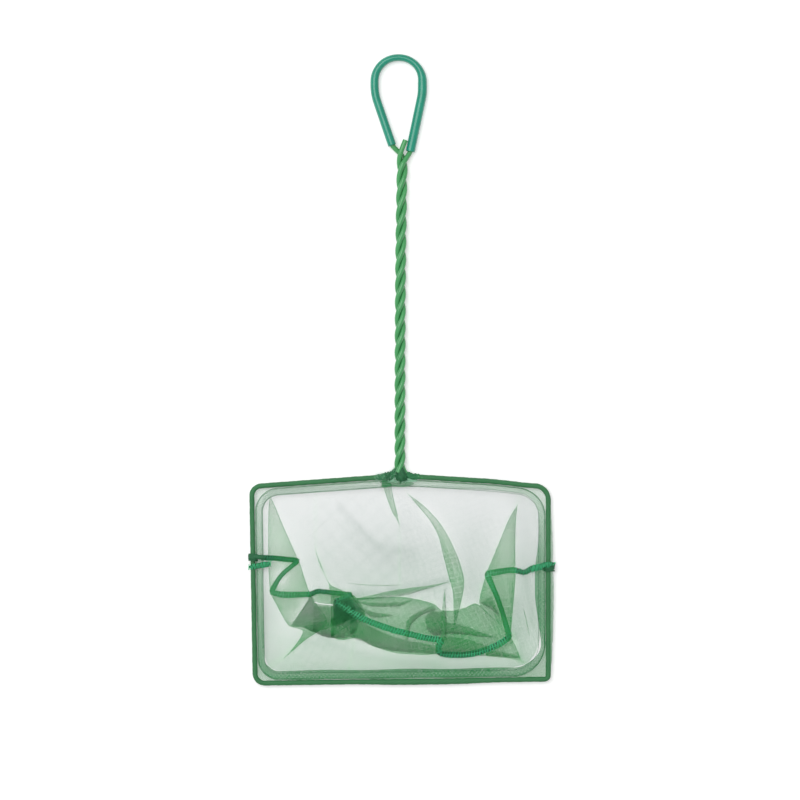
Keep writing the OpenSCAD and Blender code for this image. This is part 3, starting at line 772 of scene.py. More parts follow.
UPPER_PLAN = table("""
0 260.5 557, 6 262 558, 7 262 557.6;
0 260.5 541, 1 264.5 542, 6 274 558.7, 7 274 558.2;
0 260.5 518, 1 265 520, 6 284 559.8, 7 284 559.3;
0 262 500, 1 266.5 503, 6 292 560.3, 7 292 560;
0 265 494, 1 269 496.5, 3 283.5 528, 6 298.6 562, 7 298 561;
0 265.5 493.6, 1 269.2 496.6, 2.5 273 520, 4 277 552, 5 278.4 566, 6 279.8 578.5, 7 279.5 577.5;
0 266 493.1, 1 269.4 496.8, 2 268.5 520, 4 268.3 558, 5 269 577, 6 270.2 593.4, 7 271.1 592.5;
0 275 489.5, 1 278 494.5, 3 286 540, 6 285 596, 7 285 595.1;
0 292 488.3, 1 293 493, 3 298 540, 5 308 588, 6 312 597.5, 7 311.4 594.2;
0 299 487.9, 1 300 492.8, 3 303 540, 5 311 591, 6 291 626, 7 312.5 593.6;
0 302 487.8, 1 303 492.7, 3 305 540, 5 312.4 592.5, 6 303.5 627.5, 7 313.6 593.2;
0 305 487.5, 1 306 492.5, 3 308 540, 5 317 590, 6 314 632, 7 318 591.4;
0 314 487.1, 1 314 492, 3.2 314.5 545, 4 321 565, 5 331.5 586, 5.5 345 592, 6 365 615,
7 352 595.1;
0 315 487.1, 1 314.6 492, 3.2 314.6 545, 4 319.6 565, 5 329 586, 5.5 331 600, 6 331 637,
7 335 602;
0 340 486, 1 340 491, 3 338 540, 5 342 586, 6 342 640.1, 7 345 607;
0 355 485.5, 1 355 490.5, 3 356 540, 5 358 586, 6 356 638, 7 354 614;
0 370 485, 1 370 490, 3 373 540, 6 372 645.8, 7 370 622;
0 380 484.8, 1 380 489.5, 3 386 540, 6 388 651.2, 7 385 627.5;
0 391 485, 1 391.5 490, 2 396 510, 2.7 400 530, 6 398 653.6, 7 396 631;
0 383 485, 1 384.5 490, 2 391.5 510, 2.7 400 530, 6 398.4 653.6, 7 396.4 631.1;
0 399 484.5, 1 401 489.5, 2.7 407 530, 6 412 654.2, 7 410 634.5;
0 401 484.5, 1 403 489.5, 2.7 417 530, 4.5 425 590, 6 424 655, 7 425 638;
0 402.4 484.5, 1 404 490, 2.7 426 530, 4.5 436 590, 6 437 654, 7 442.5 641;
0 403.5 484.5, 1 404.6 490.5, 2.7 430 530, 4.5 444 590, 6 437.2 654.5, 7 438.5 646;
0 404 484.6, 1 405 491, 2.7 432 530, 4.5 448 590, 6 438.5 655, 7 438.5 652.5;
0 404.5 484.6, 1 405.4 491.5, 1.5 412 497, 2 423.5 506, 2.6 440.8 525, 3.2 453 546.7,
3.8 461 567, 4.2 464 583, 4.8 460 606, 5.1 457 618, 5.5 453 632, 6 446 656, 7 445 654.7;
0 405 484.6, 1 405.5 491.6, 1.5 411 497.5, 2 417 504.5, 2.6 430.6 521, 3.2 438.8 536.5,
3.8 444 557, 4.2 449 577, 4.8 453.5 595.5, 5.1 454 612, 5.5 453.2 632, 6 446.4 656.2,
7 445.5 654.8;
0 425 485, 1 427 490, 2 440 507, 3 462 545, 4 472 580, 6 461 656.5, 7 461 655.3;
0 450 486, 1 452 491, 3 476 545, 6 474 654.8, 7 474 653.6;
0 480 487.5, 1 481 492.5, 3 490 540, 4.5 497 590, 6 489 650.2, 7 489 649;
0 500 489.5, 1 501 494.5, 3 504 540, 6 502.5 643.1, 7 502.5 642.4;
0 519 492.5, 1 518.4 501, 2 515.6 520, 3 515 545, 4 515.4 575, 5 513.5 600, 6 510.2 638,
7 509.6 637.1;
0 519.2 492.5, 1 518.5 501.1, 2 512.4 520, 3 507 545, 4 504.5 570, 5 502.5 588, 6 499.8 603.4,
7 499.1 602.5;
0 519.5 492.7, 1 518.6 501.2, 2 509 520, 3 499 544, 4 491.5 562, 5 488.5 569, 6 486.4 573.2,
7 487 574;
0 532 500, 1 528 505, 3 522 540, 6 513 570.8, 7 513 570.2;
0 540 520, 1 536 522, 3 530 545, 6 524 573.2, 7 524 572.8;
0 541.5 545, 1 538 546, 6 532 569, 7 532 568.6;
0 541.5 566.4, 6 541 567.2, 7 541 567""")
LOWER_PLAN = table("""
0 261 558.5, 6 262.5 557.8, 7 262 557.3;
0 261 575, 1 265 574, 6 276 558.8, 7 276 558.5;
0 261 600, 1 266 598, 3 280 585, 6 288 560, 7 288 559.8;
0 261.5 640, 1 266.5 638, 3 292 600, 6 293 560.6, 7 293 560.2;
0 268 667, 1 281 660.5, 2.2 305 640, 3 327 623, 4 316 604, 5 309 592, 6 299 562.5, 7 298 561.4;
0 268.1 667.1, 1 281 660.5, 2.5 304 636, 3.2 308 624.5, 4 300 610, 5 290 597, 6 279.8 579.2,
7 279.7 578;
0 268.5 667.5, 1 281 660.7, 2.8 303.2 631, 3.4 289 626, 4.2 283 617, 5 276 604, 6 270.5 594,
7 271.5 592.9;
0 285 672.5, 1 290 666, 2.8 312 636, 4 298 612, 6 287 596, 7 287 595.5;
0 300 673, 1 303 667.5, 3 322 640, 5 312 610, 6 304 595.9, 7 303 595.1;
0 318 673, 1 320 668, 3 328 642, 6 319 592.1, 7 318 591.8;
0 335 673, 1 336 668, 3 340 640, 6 335 593, 7 335 592.5;
0 348 673, 1 349 668, 2.5 354 640, 3.5 358 625, 4.5 365 615, 5.5 356 598, 6 353 595.5,
7 352 595.5;
0 349 673, 1 349.5 668, 2.5 354.2 640, 3.5 345 628, 4.5 334 617, 5.5 333 606, 6 334 600.5,
7 335 602.2;
0 357 673, 1 358 668, 3 362 640, 5 360 612, 6 357 598.6, 7 352 613.5;
0 372 673, 1 373 668, 3 376 640, 5 377 612, 6 377 597.8, 7 370 622.5;
0 400 673, 1 400 668, 3 400 640, 5 400 610, 6 400 597.5, 7 397 631.5;
0 422 673, 1 422 668, 3 420 640, 5 420 612, 6 420 600.5, 7 420 637;
0 437 673, 1 437 668, 3 435 640, 6 434 604.8, 7 442.5 641.4;
0 442 673, 1 442 668, 3 440 645, 6 439 609, 7 438.5 646.1;
0 447 673, 1 447 668, 3 444 645, 6 442 611.2, 7 438.5 652.6;
0 458 673, 1 458 668, 3 455 645, 6 452 611.2, 7 454 655.5;
0 474 672.5, 1 474 667.5, 3 470 645, 6 466 608, 7 474 653.6;
0 492 672, 1 491 667, 3 486 645, 6 476 604, 7 491 648.2;
0 527 664, 1 521.5 661, 3 517.5 651, 5 512.6 641, 6 510.4 638.2, 7 509.6 637.3;
0 527.2 663.8, 1 521.6 661, 2 510 659, 2.7 501.5 655, 3.2 506.5 649.5, 3.7 512 643,
4.2 505.5 633.5, 5 498 622, 6 499.8 604.1, 7 499.3 603;
0 527.5 663.5, 1 521.6 661, 1.6 517.5 658.5, 2.2 500 657.4, 2.7 485 655.5, 3.2 496 648,
3.7 507.5 637.5, 4.2 498 623, 5 479.6 603, 6 486.2 575, 7 486.8 574.5;
0 536 652, 1 531 650, 3 520 630, 5 505 595, 6 501 573, 7 500 571.6;
0 541 630, 1 537 629, 3 530 610, 6 513 571.1, 7 513 570.5;
0 541.5 605, 1 537.5 604, 6 524 573.4, 7 524 572.6;
0 541.5 583, 1 538 582, 6 533 569, 7 533 568.6;
0 541.5 568.5, 6 541 568, 7 541 567.5""")
TUCKS = table("""
350 611, 362 621, 378 630.5, 400 638.5, 437 646; 350 637, 362 642, 378 648, 400 652, 437 654;
313.5 605.5, 323 606.4, 334 607; 312.5 631, 322 636, 334 638.6;
304 626.5, 316 624, 328 619.5, 342 616, 356 616;
304 627.5, 314 632.5, 328 638.2, 344 638.6, 358 629;
425 617, 432 611, 442 612; 427 630, 435 636, 443 634;
358 601.5, 375 603, 395 602.5, 412 600.5; 358 602.5, 375 607, 395 607, 412 601.5;
359 607, 375 612.5, 393 615; 359 608.5, 375 618, 393 616.5;
331 606, 335 601.5, 341 599.5, 350 599.5; 331 624, 336 627, 346 622, 356 609;
450 582, 425 586.5, 400 589.5, 375 594.5, 357 598.6;
450 582, 425 590, 400 596.5, 375 598.8, 357 600.2;
445 589, 443 602, 441.4 620, 441 640; 445 589, 445.8 602, 446.6 620, 446.2 640;
444 622, 460 624.5, 480 632, 497 638; 444 634, 460 634.5, 480 637, 497 638;
444 637, 460 638, 475 642, 490 647.5; 440 654, 455 654.5, 475 652.6, 490 648.5;
476 655.1, 495 651.2, 508 653.4, 521 658; 476 656, 495 656.4, 508 657.5, 521 658;
479.8 602.6, 486 599.4, 492 596.5; 479.8 602.6, 488 607.5, 499 616;
345 583, 365 584.6, 385 585.2, 402 585; 345 583.1, 365 585.5, 385 586.1, 402 585.2;
523.5 609, 526 622, 529.6 636; 523.8 609, 527.2 622, 529.9 636;
405 640, 406 624, 418 612, 434 606; 408 640, 411 626, 421 616, 436 610""")
# Each oval: place, width, height and amount; the amounts are partly painted shade.
OVALS = table("""
395 565 75 42 0.52; 320 560 40 45 0.22; 330 512 45 22 0.12; 300 662 50 22 0.35;
420 667 90 12 0.2; 300 612 20 20 -0.45; 322 612 30 18 -0.35; 346 629 12 9 -0.25;
398 609 30 8 -0.3; 308 604 6 8 -0.25; 474 548 14 42 0.2; 343 616 12 13 -0.4; 392 641 28 8 -0.25;
512 620 4 28 0.4; 292 604 8 8 0.3; 499 620 5 13 0.4; 468 585 13 20 0.25; 405 515 14 22 0.15;
287 510 10 15 0.2; 298 568 8 20 -0.3; 460 635.5 24 4 0.5; 463 645 24 4 0.3; 423 627 9 6 0.3;
514 650 8 7 -0.6; 361 594 6 4 0.6; 523 575 9 90 0.45; 272 612 10 22 0.35; 335 632 30 9 0.5;
280 578 11 14 -0.75; 279 538 12 30 -0.38; 507 550 12 32 -0.3; 394 507 6 20 -0.3;
402 648 45 9 -0.15""")
# Each line: width and amount, then its places; the amounts are partly painted shade.
LINES = table("""
4 0.45, 340 508, 352 522, 366 536, 376 544.5, 386 549.5, 398 551.5, 414 551.5;
9 0.2, 356 535, 368 549, 386 558, 410 560;
3 0.4, 517 600, 519 625, 522 655;
3 0.35, 525 575, 530 600, 533 625;
3.5 0.75, 352 596, 380 594, 415 588, 450 582;
5 -0.3, 425 612, 440 612, 455 608, 470 604;
1.4 0.7, 515.5 628, 517 642, 520 655, 523 662;
2.5 0.3, 445 592, 444 630;
5 0.3, 300 642, 330 646, 365 656, 400 662, 440 664;
7 -0.5, 425 510, 440 527, 450 545, 456 568, 457 590""")
# Veil along the seam: paler above 0, where net lies over it; painted shade below 0, where it is
# turned under.
SEAM_VEIL_AND_SHADE = table("""
262 557 -0.75; 296 561 -0.65; 290 566 0.7; 272 590 0.7; 305 594 0.6; 312 594.2 -0.8;
350 595.5 -0.75; 337 602.5 -0.5; 347 609 0.1; 380 625 0; 436 640.5 0; 438 650 -0.4; 455 654 -0.1;
500 643.5 0.1; 509.5 637 -0.1; 504 615 -0.5; 499 602 -0.4; 493 587 0.2; 488 576 0.5; 500 572 0.6;
514 569 0.5; 519 570.5 -0.6; 530 568.5 -0.3; 538 567.2 0""")
SEAM_WIDTH = table("""
262 557.5 0.85; 296 560.5 0.85; 290 566 0.72; 279 578 0.72; 272.5 590 0.85; 285 595 1;
306 594.2 0.9; 314 592.6 0.8; 345 595 0.8; 351 595.5 0.9; 337 602.5 0.85; 347 609 1; 430 638 1;
440 652 0.9; 455 654 1; 500 643.5 1; 509.5 637 0.95; 504 615 0.78; 495 590 0.82; 488 576 1;
500 572 1; 515 570 0.95; 524 573 0.85; 535 568 1""")
UPPER_FOLDS = [4, 6, 12, 13, 18, 19, 25, 26, 31, 33]
LOWER_FOLDS = [4, 6, 11, 12, 23, 25]

# %% [markdown]
# ## From the plan to two folded sheets
# A monotone cubic curve goes through the entries of each column, and then across the
# columns from fold to fold. That gives each panel a grid of points, flat so far.

# %% Smooth curves through the plan
def flowing(t, v, at):
    """A smooth curve through the places v at t that never swings past them."""
    h = np.diff(t)[:, None]
    d = np.diff(v, axis=0) / h
    slope = np.concatenate([d[:1], np.zeros_like(d[1:]), d[-1:]])
    a, b = 2 * h[1:] + h[:-1], h[1:] + 2 * h[:-1]
    same = d[1:] * d[:-1] > 1e-9
    before, after = (np.where(same, side, 1.0) for side in (d[:-1], d[1:]))
    slope[1:-1] = np.where(same, (a + b) / (a / before + b / after), 0)
    k = np.clip(np.searchsorted(t, at, "right") - 1, 0, len(t) - 2)
    x = ((at - t[k]) / h[k, 0])[:, None]
    return hermite(x, v[k], h[k] * slope[k], v[k + 1], h[k] * slope[k + 1])


rows = np.concatenate([np.linspace(0, 1, 5)[:-1], np.linspace(1, 6, 33),
                       np.linspace(6, 7, 8)[1:]])
BACK = int(np.searchsorted(rows, 6.0))
STEPS = 5  # columns of the grid for each one of the plan


def laid_out(plan, folds):
    """The flat grid of a panel, rows by columns, and where its folds are among the columns."""
    keys = []
    for column in plan:
        r, places = np.array(column)[:, 0], spots(np.array(column)[:, 1:])
        t = (rows[BACK + 1:] - 6)[:, None]
        keys.append(np.concatenate([flowing(r[:-1], places[:-1], rows[:BACK + 1]),
                                    places[-2] * (1 - t) + places[-1] * t]))
    keys = np.array(keys)
    cuts = [0] + folds + [len(plan) - 1]
    parts = []
    for a, b in zip(cuts, cuts[1:]):
        at = np.linspace(a, b, (b - a) * STEPS + 1)
        part = flowing(np.arange(a, b + 1), keys[a:b + 1].reshape(b - a + 1, -1), at)
        parts.append(part.reshape(len(at), len(rows), 2)[0 if a == 0 else 1:])
    return np.concatenate(parts).transpose(1, 0, 2), [c * STEPS for c in cuts]


upper_flat, upper_cuts = laid_out(UPPER_PLAN, UPPER_FOLDS)
lower_flat, lower_cuts = laid_out(LOWER_PLAN, LOWER_FOLDS)
seam_flat = even(upper_flat[-1], 0.6)
smoothed(seam_flat, 4)
print("panels:", upper_flat.shape, lower_flat.shape, "seam in mm:", lengths(seam_flat)[-1])

# %% [markdown]
# The flaps are stacked on a map of the ground, from bottom to top. Each lies on the
# blurred sum of what is below it, so it climbs over an edge in a soft step.

# %% Stacking the heap
CELL, LAYER, SEAM_T, GROUND = 0.5, 0.28, 1.0, 0.2
MAP_LOW, MAP_SIZE = np.array([-105.0, -215.0]), np.array([420, 300])


def covered(grid):
    """The cells that a flap lies on, from points spread over each of its quads."""
    mask = np.zeros(MAP_SIZE)
    t = np.linspace(0, 1, 9)
    for a in t:
        near = grid[:-1] * (1 - a) + grid[1:] * a
        for b in t:
            places = near[:, :-1] * (1 - b) + near[:, 1:] * b
            cell = np.clip(((places - MAP_LOW) / CELL).astype(int), 0, MAP_SIZE - 1)
            mask[tuple(cell.reshape(-1, 2).T)] = 1
    return mask


def blurred(field, reach):
    kernel = np.hanning(2 * reach + 3)[1:-1]
    for axis in (0, 1):
        field = np.apply_along_axis(np.convolve, axis, field, kernel / kernel.sum(), "same")
    return field


def height_at(field, places):
    at = np.clip((places - MAP_LOW) / CELL - 0.5, 0, MAP_SIZE - 2.001)
    i, j = at[..., 0].astype(int), at[..., 1].astype(int)
    x, y = at[..., 0] - i, at[..., 1] - j
    return ((field[i, j] * (1 - x) + field[i + 1, j] * x) * (1 - y)
            + (field[i, j + 1] * (1 - x) + field[i + 1, j + 1] * x) * y)


def flaps(name, cuts, front_order, back_order):
    """A panel's flaps by their order in the heap. The two at each end are its deep pleats."""
    n, out = len(cuts) - 1, []
    for k, (a, b) in enumerate(zip(cuts, cuts[1:])):
        order = max(2 - min(k, n - 1 - k), 0) * 1000 + (n - k if k < n - 2 else k)
        out.append((order + front_order, name, slice(0, BACK + 1), slice(a, b + 1)))
        out.append((order + back_order, name, slice(BACK, len(rows)), slice(a, b + 1)))
    return out


SEAM_HALF_W = 2.0
seam_side = unit(np.gradient(seam_flat, axis=0))[:, ::-1] * [1, -1] * SEAM_HALF_W
flat_of = {"lower": lower_flat, "upper": upper_flat,
           "seam": np.stack([seam_flat - seam_side, seam_flat, seam_flat + seam_side])}
heap = flaps("lower", lower_cuts, 0, 100) + flaps("upper", upper_cuts, 300, 100)
heap.append((150, "seam", slice(0, 3), slice(0, len(seam_flat))))
height, count = ({k: np.zeros(v.shape[:2]) for k, v in flat_of.items()} for _ in range(2))
below, layers = np.zeros(MAP_SIZE), np.zeros(MAP_SIZE)
for order, name, r, c in sorted(heap, key=lambda flap: flap[0]):
    thick = SEAM_T if name == "seam" else LAYER
    flap = flat_of[name][r, c]
    height[name][r, c] += GROUND + height_at(blurred(below, 4), flap) + thick / 2
    count[name][r, c] += 1
    cover = covered(flap)
    below += cover * thick
    layers += cover * (name != "seam")
height = {k: v / count[k] for k, v in height.items()}
heap_top = blurred(below, 3)
crowd = blurred(layers, 1)
crowd = np.clip((crowd - 1.2) / 2.2, 0, 1) + np.clip((crowd - 4) / 4, 0, 1)
print("heap in mm:", below.max(), "most layers:", layers.max())

# %% [markdown]
# Where the net is drawn together its threads lie nearer to one another, and soft folds
# show as darker lines of painted shade. Soft ovals and lines say where, and scale the thread's
# share, so the attribute closeness carries both real closeness and painted shade.

# %% Where the net lies closer
def closeness_and_shade(places):
    out = np.full(len(places), 1.2)
    for x, y, wide, high, amount in [oval for oval, in OVALS]:
        size = np.round([wide / 1.5, high / 1.5], 1)
        out += amount * np.exp(-(((places - px(x, y).round(1)) / size) ** 2).sum(1))
    for (wide, amount), *line in LINES:
        near = np.linalg.norm(places[:, None] - even(spots(line), 1.5)[None], axis=2)
        out += amount * hump(near.min(1) / round(wide / 1.5, 1))
    return out


# %% [markdown]
# Now the mouth is lifted to the hem and the last row is brought to the seam. A few slow
# waves, the same for all flaps, keep the cloth from looking like paper.

# %% Lifting the mouth and closing the seam
def waves(p):
    x, y = p[..., 0], p[..., 1]
    return (0.16 * np.sin(0.11 * x + 0.23 * y + 1.2 * np.sin(0.05 * y + 0.08 * x))
            + 0.12 * np.sin(0.31 * x - 0.17 * y + 2.0) * np.sin(0.09 * y + 1.0)
            + 0.06 * np.sin(0.62 * x + 0.41 * y + 2 * np.sin(0.13 * x)))


seam_height = height["seam"][1]
smoothed(seam_height, 6)
seam_s = lengths(seam_flat)
SIDE_Z, HEM_Z, LIFT_MM, CLOSE_MM = AXIS_Z + 0.6, AXIS_Z - 0.35, 9.0, 2.5
rise = 1 - soft(np.minimum(seam_s, seam_s[-1] - seam_s) / LIFT_MM)
seam_line = lift(seam_flat, seam_height * (1 - rise) + SIDE_Z * rise)


def panel_grid(name):
    flat, z = flat_of[name], height[name]
    z = z + 0.2 + waves(flat) * soft(z)
    down = np.linalg.norm(np.diff(flat, axis=0), axis=2).cumsum(0)
    down = np.concatenate([np.zeros_like(down[:1]), down])
    mouth = 1 - soft(down / LIFT_MM)
    z = z * (1 - mouth) + HEM_Z * mouth
    gap = np.linalg.norm(flat[-1][:, None] - seam_flat[None], axis=2).argmin(1)
    close = 1 - soft((down[-1:] - down) / CLOSE_MM)
    z = z * (1 - close) + seam_line[gap, 2][None] * close
    return np.dstack([flat, z]), down[-1]


def line_angle(line):
    way = line[-1, :2] - line[0, :2]
    return math.atan2(way[1], way[0])


def weave_angles(grid, cuts, start):
    """How the weave lies in each flap: a fold mirrors it, so each fold turns it anew."""
    n = len(cuts) - 1
    front = np.full(n, start)
    for k in range(n // 2 + 1, n):
        front[k] = 2 * line_angle(grid[:BACK, cuts[k]]) - front[k - 1]
    for k in range(n // 2 - 1, -1, -1):
        front[k] = 2 * line_angle(grid[:BACK, cuts[k + 1]]) - front[k + 1]
    back = [2 * line_angle(grid[BACK, a:b + 1]) - f for f, a, b in zip(front, cuts, cuts[1:])]
    return zip(front, back)


# %% Small pleats that lie on the panels
def pleat(a, b):
    """A lens of two more layers between the lines a and b, on top of the heap."""
    t = np.linspace(0, 1, 13)
    a, b = (flowing(np.linspace(0, 1, len(line)), spots(line), t) for line in (a, b))
    grid = np.stack([a, (a + b) / 2, b, (a + b) / 2, a])
    lifts = np.array([0.02, 0.16, 0.3, 0.46, 0.6])[:, None] * LAYER * 2
    z = GROUND + 0.2 + height_at(heap_top, grid) + waves(grid) + lifts
    return strip(np.dstack([grid, z]), turned_uv(grid, line_angle(a) + 0.4, 0.2))


# %% The two panels
# Near this place the painted shade of the stacked layers is weaker.
PALER = np.array([-38.5, -164.5])


def panel(half, cuts, turn, pleats):
    grid, down = panel_grid(half)
    index = np.arange(grid[:, :, 0].size).reshape(grid.shape[:2])
    faces, uvs = [], []
    for k, (a, b, angles) in enumerate(zip(cuts, cuts[1:], weave_angles(grid, cuts, turn))):
        for low, high, angle in zip((0, BACK), (BACK, len(rows) - 1), angles):
            part = index[low:high + 1, a:b + 1]
            quads = np.stack([part[:-1, :-1], part[1:, :-1], part[1:, 1:], part[:-1, 1:]], 2)
            quads = quads.reshape(-1, 4)
            faces += quads.tolist()
            uvs += turned_uv(grid.reshape(-1, 3)[quads], angle, k * 0.37).tolist()
    parts = [(grid.reshape(-1, 3), faces, uvs)] + [pleat(a, b) for a, b in pleats]
    name = "bag_panel_" + half
    made = piece(name, parts, bag_cloth, "bag_mesh", "bag_" + half, closed=False)
    folds = {frozenset(e) for c in cuts[1:-1] for e in zip(index[:-1, c], index[1:, c])}
    folds |= {frozenset(e) for e in zip(index[BACK, :-1], index[BACK, 1:])}
    sharp = made.data.attributes.new("sharp_edge", "BOOLEAN", "EDGE")
    sharp.data.foreach_set("value", [frozenset(e.vertices) in folds for e in made.data.edges])
    points = np.array([v.co[:2] for v in made.data.vertices]) / MM
    green = height_at(crowd, points)
    green[index.size:] = np.maximum(green[index.size:], 1)
    away = np.linalg.norm((points - PALER) / [8.0, 9.0], axis=1)
    green = np.where(green > 1, 1 + (green - 1) * (1 - 0.4 * hump(away)), green)
    give(made, "crowd", green)
    give(made, "closeness_and_shade", closeness_and_shade(points) + 0.3 * soft((0.9 - green) / 0.5))
    creases = [grid[BACK, a:b + 1] for a, b in zip(cuts, cuts[1:])]
    for before, fold, after in zip(cuts, cuts[1:], cuts[2:]):
        deep = np.minimum(*(np.linalg.norm(grid[:BACK + 1, fold] - grid[:BACK + 1, c], axis=1)
                            for c in (before, after)))
        creases.append(grid[:BACK + 1, fold][deep > 1.2])
    creases = [even(line, 1.5) for line in creases if len(line) > 3 and lengths(line)[-1] > 6]
    edges = piece(name + "_creases", [tube(line, 0.11, 5) for line in creases], crease_thread,
                  "bag_mesh")
    [edges] + hems[half]


pleats = list(zip(TUCKS[::2], TUCKS[1::2]))
panel("upper", upper_cuts, 0.03, pleats[:-1])
panel("lower", lower_cuts, -0.05, pleats[-1:])

# %% [markdown]
# ## The seam
# The two raw edges are overlocked: a flat cord with slanted turns of thread, which Geometry
# Nodes set along it. The attribute veil runs from 1, where net lies over the seam and it
# looks paler, to -1, where it is turned under and is painted darker: painted shade.

# %% Seam cord
def along_seam(line, marks):
    """The values of marks (place, value), spread over the line between the places."""
    marks = np.array(marks)[:, 0]
    near = [np.linalg.norm(line[:, :2] - spot, axis=1).argmin() for spot in spots(marks[:, :2])]
    return np.interp(np.arange(len(line)), near, marks[:, 2])


CORD_HALF, CORD_SIDES, CHAIN_SIDES = (1.95, 0.42), 14, 6
seam_even = even(seam_line, 0.8)
seam_size = np.outer(along_seam(seam_even, SEAM_WIDTH), CORD_HALF)
cord = piece("seam_cord", tube(seam_even, seam_size, CORD_SIDES), seam_cloth, "seam_thread",
             "bag_seam")
give(cord, "veil_and_shade", np.repeat(along_seam(seam_even, SEAM_VEIL_AND_SHADE), CORD_SIDES))


# %% Geometry Nodes: one short thread, repeated along a line
class Tree(Nodes):
    """A Geometry Nodes tree that repeats a short thread, with its inputs by name."""
    def __init__(self, name, *sizes):
        self.tree = bpy.data.node_groups.new(name, "GeometryNodeTree")
        kinds = {"Base": "Geometry", **dict.fromkeys(sizes, "Float"), "Seed": "Int",
                 "Finish": "Material"}
        for label, kind in kinds.items():
            self.tree.interface.new_socket(label, in_out="INPUT", socket_type="NodeSocket" + kind)
        self.tree.interface.new_socket("Made", in_out="OUTPUT",
                                       socket_type="NodeSocketGeometry")
        given = self.tree.nodes.new("NodeGroupInput")
        self.given = {label: Value(self, given.outputs[label]) for label in kinds}

    def xyz(self, x=0.0, y=0.0, z=0.0):
        return self.node("ShaderNodeCombineXYZ", {0: x, 1: y, 2: z})

    def uneven(self, low, high, seed_shift):
        seed = self.given["Seed"] + float(seed_shift)
        return self.node("FunctionNodeRandomValue", {2: low, 3: high, "Seed": seed}, out=1,
                         data_type="FLOAT")

    def bent_thread(self):
        """A thread along X that arches up between its ends."""
        half = self.given["Length"] * 0.5
        line = self.node("GeometryNodeCurvePrimitiveLine", {
            "Start": self.xyz(half * -1.0), "End": self.xyz(half)})
        line = self.node("GeometryNodeResampleCurve", {"Curve": line, "Count": 6})
        share = self.node("ShaderNodeSeparateXYZ", {
            0: self.node("GeometryNodeInputPosition")}) / half
        line = self.node("GeometryNodeSetPosition", {
            "Geometry": line, "Offset": self.xyz(z=self.given["Arch"] * (1.0 - share * share))})
        ring = self.node("GeometryNodeCurvePrimitiveCircle", {
            "Resolution": 5, "Radius": self.given["Thickness"]}, mode="RADIUS")
        return self.node("GeometryNodeCurveToMesh", {"Curve": line, "Profile Curve": ring,
                                                     "Fill Caps": True})

    def finished(self, places, turn, size):
        """A thread at each place, made real and painted."""
        made = self.node("GeometryNodeInstanceOnPoints", {
            "Points": places, "Instance": self.bent_thread(), "Rotation": turn, "Scale": size})
        made = self.node("GeometryNodeRealizeInstances", {0: made})
        made = self.node("GeometryNodeSetShadeSmooth", {0: made})
        self.node("NodeGroupOutput", {0: self.node("GeometryNodeSetMaterial", {
            0: made, "Material": self.given["Finish"]})})


stitches = t = Tree("stitches", "Pitch", "Length", "Thickness", "Arch", "Slant", "Spread")
curve = t.node("GeometryNodeMeshToCurve", {"Mesh": t.given["Base"]})
places = t.node("GeometryNodeCurveToPoints", {"Curve": curve, "Length": t.given["Pitch"]},
                mode="LENGTH")
tangent = Value(t, places.socket.node.outputs["Tangent"])
aligned = t.node("FunctionNodeAlignRotationToVector", {"Vector": tangent}, axis="X",
                 pivot_axis="Z")
slant = t.given["Slant"] + t.given["Spread"] * t.uneven(-1.0, 1.0, 1)
turn = t.node("FunctionNodeEulerToRotation", {0: t.xyz(z=slant)})
turn = t.node("FunctionNodeRotateRotation", {"Rotation": aligned, "Rotate By": turn},
              rotation_space="LOCAL")
wide = t.node("GeometryNodeInputNamedAttribute", {"Name": "wide"}, data_type="FLOAT")
t.finished(places, turn, wide * t.uneven(0.88, 1.12, 7))

fibres = t = Tree("fibres", "Density", "Length", "Thickness", "Arch", "Lean")
places = t.node("GeometryNodeDistributePointsOnFaces", {
    "Mesh": t.given["Base"], "Density": t.given["Density"], "Seed": t.given["Seed"]})
turn = t.node("FunctionNodeEulerToRotation", {0: t.xyz(
    t.given["Lean"] * t.uneven(-1.0, 1.0, 2), t.given["Lean"] * t.uneven(-1.0, 1.0, 3),
    t.uneven(-3.1, 3.1, 4))})
t.finished(places, turn, t.uneven(0.5, 1.2, 5))


LOWEST_MM = 0.15


def grown(name, base, tree, finish, slot, *nodes, **inputs):
    """Runs a tree on base and keeps the result as a plain mesh. Sizes are in mm."""
    mod = base.modifiers.new("grown", "NODES")
    mod.node_group = tree.tree
    for item in tree.tree.interface.items_tree:
        if item.name in inputs:
            in_mm = item.name in ("Pitch", "Length", "Thickness", "Arch")
            mod[item.identifier] = inputs[item.name] * (MM if in_mm else 1)
        elif item.name == "Finish":
            mod[item.identifier] = finish
    graph = bpy.context.evaluated_depsgraph_get()
    graph.update()
    mesh = bpy.data.meshes.new_from_object(base.evaluated_get(graph))
    base.modifiers.remove(mod)
    places = np.zeros(len(mesh.vertices) * 3)
    mesh.vertices.foreach_get("co", places)
    places[2::3] = np.maximum(places[2::3], LOWEST_MM * MM)
    mesh.vertices.foreach_set("co", places)
    return dress(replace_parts(placed(name, mesh), *nodes), slot)


def along_line(name, line, finish, slot, *nodes, veil_and_shade=0.0, wide=1.0, **inputs):
    """Stitches along a line, which itself is not kept."""
    mesh = bpy.data.meshes.new(name + "_line")
    mesh.from_pydata((line * MM).tolist(), [(i, i + 1) for i in range(len(line) - 1)], [])
    guide = placed(name + "_line", mesh)
    give(guide, "veil_and_shade", np.broadcast_to(veil_and_shade, len(line)))
    give(guide, "wide", np.broadcast_to(wide, len(line)))
    grown(name, guide, stitches, finish, slot, *nodes, **inputs)
    bpy.data.objects.remove(guide)
    bpy.data.meshes.remove(mesh)


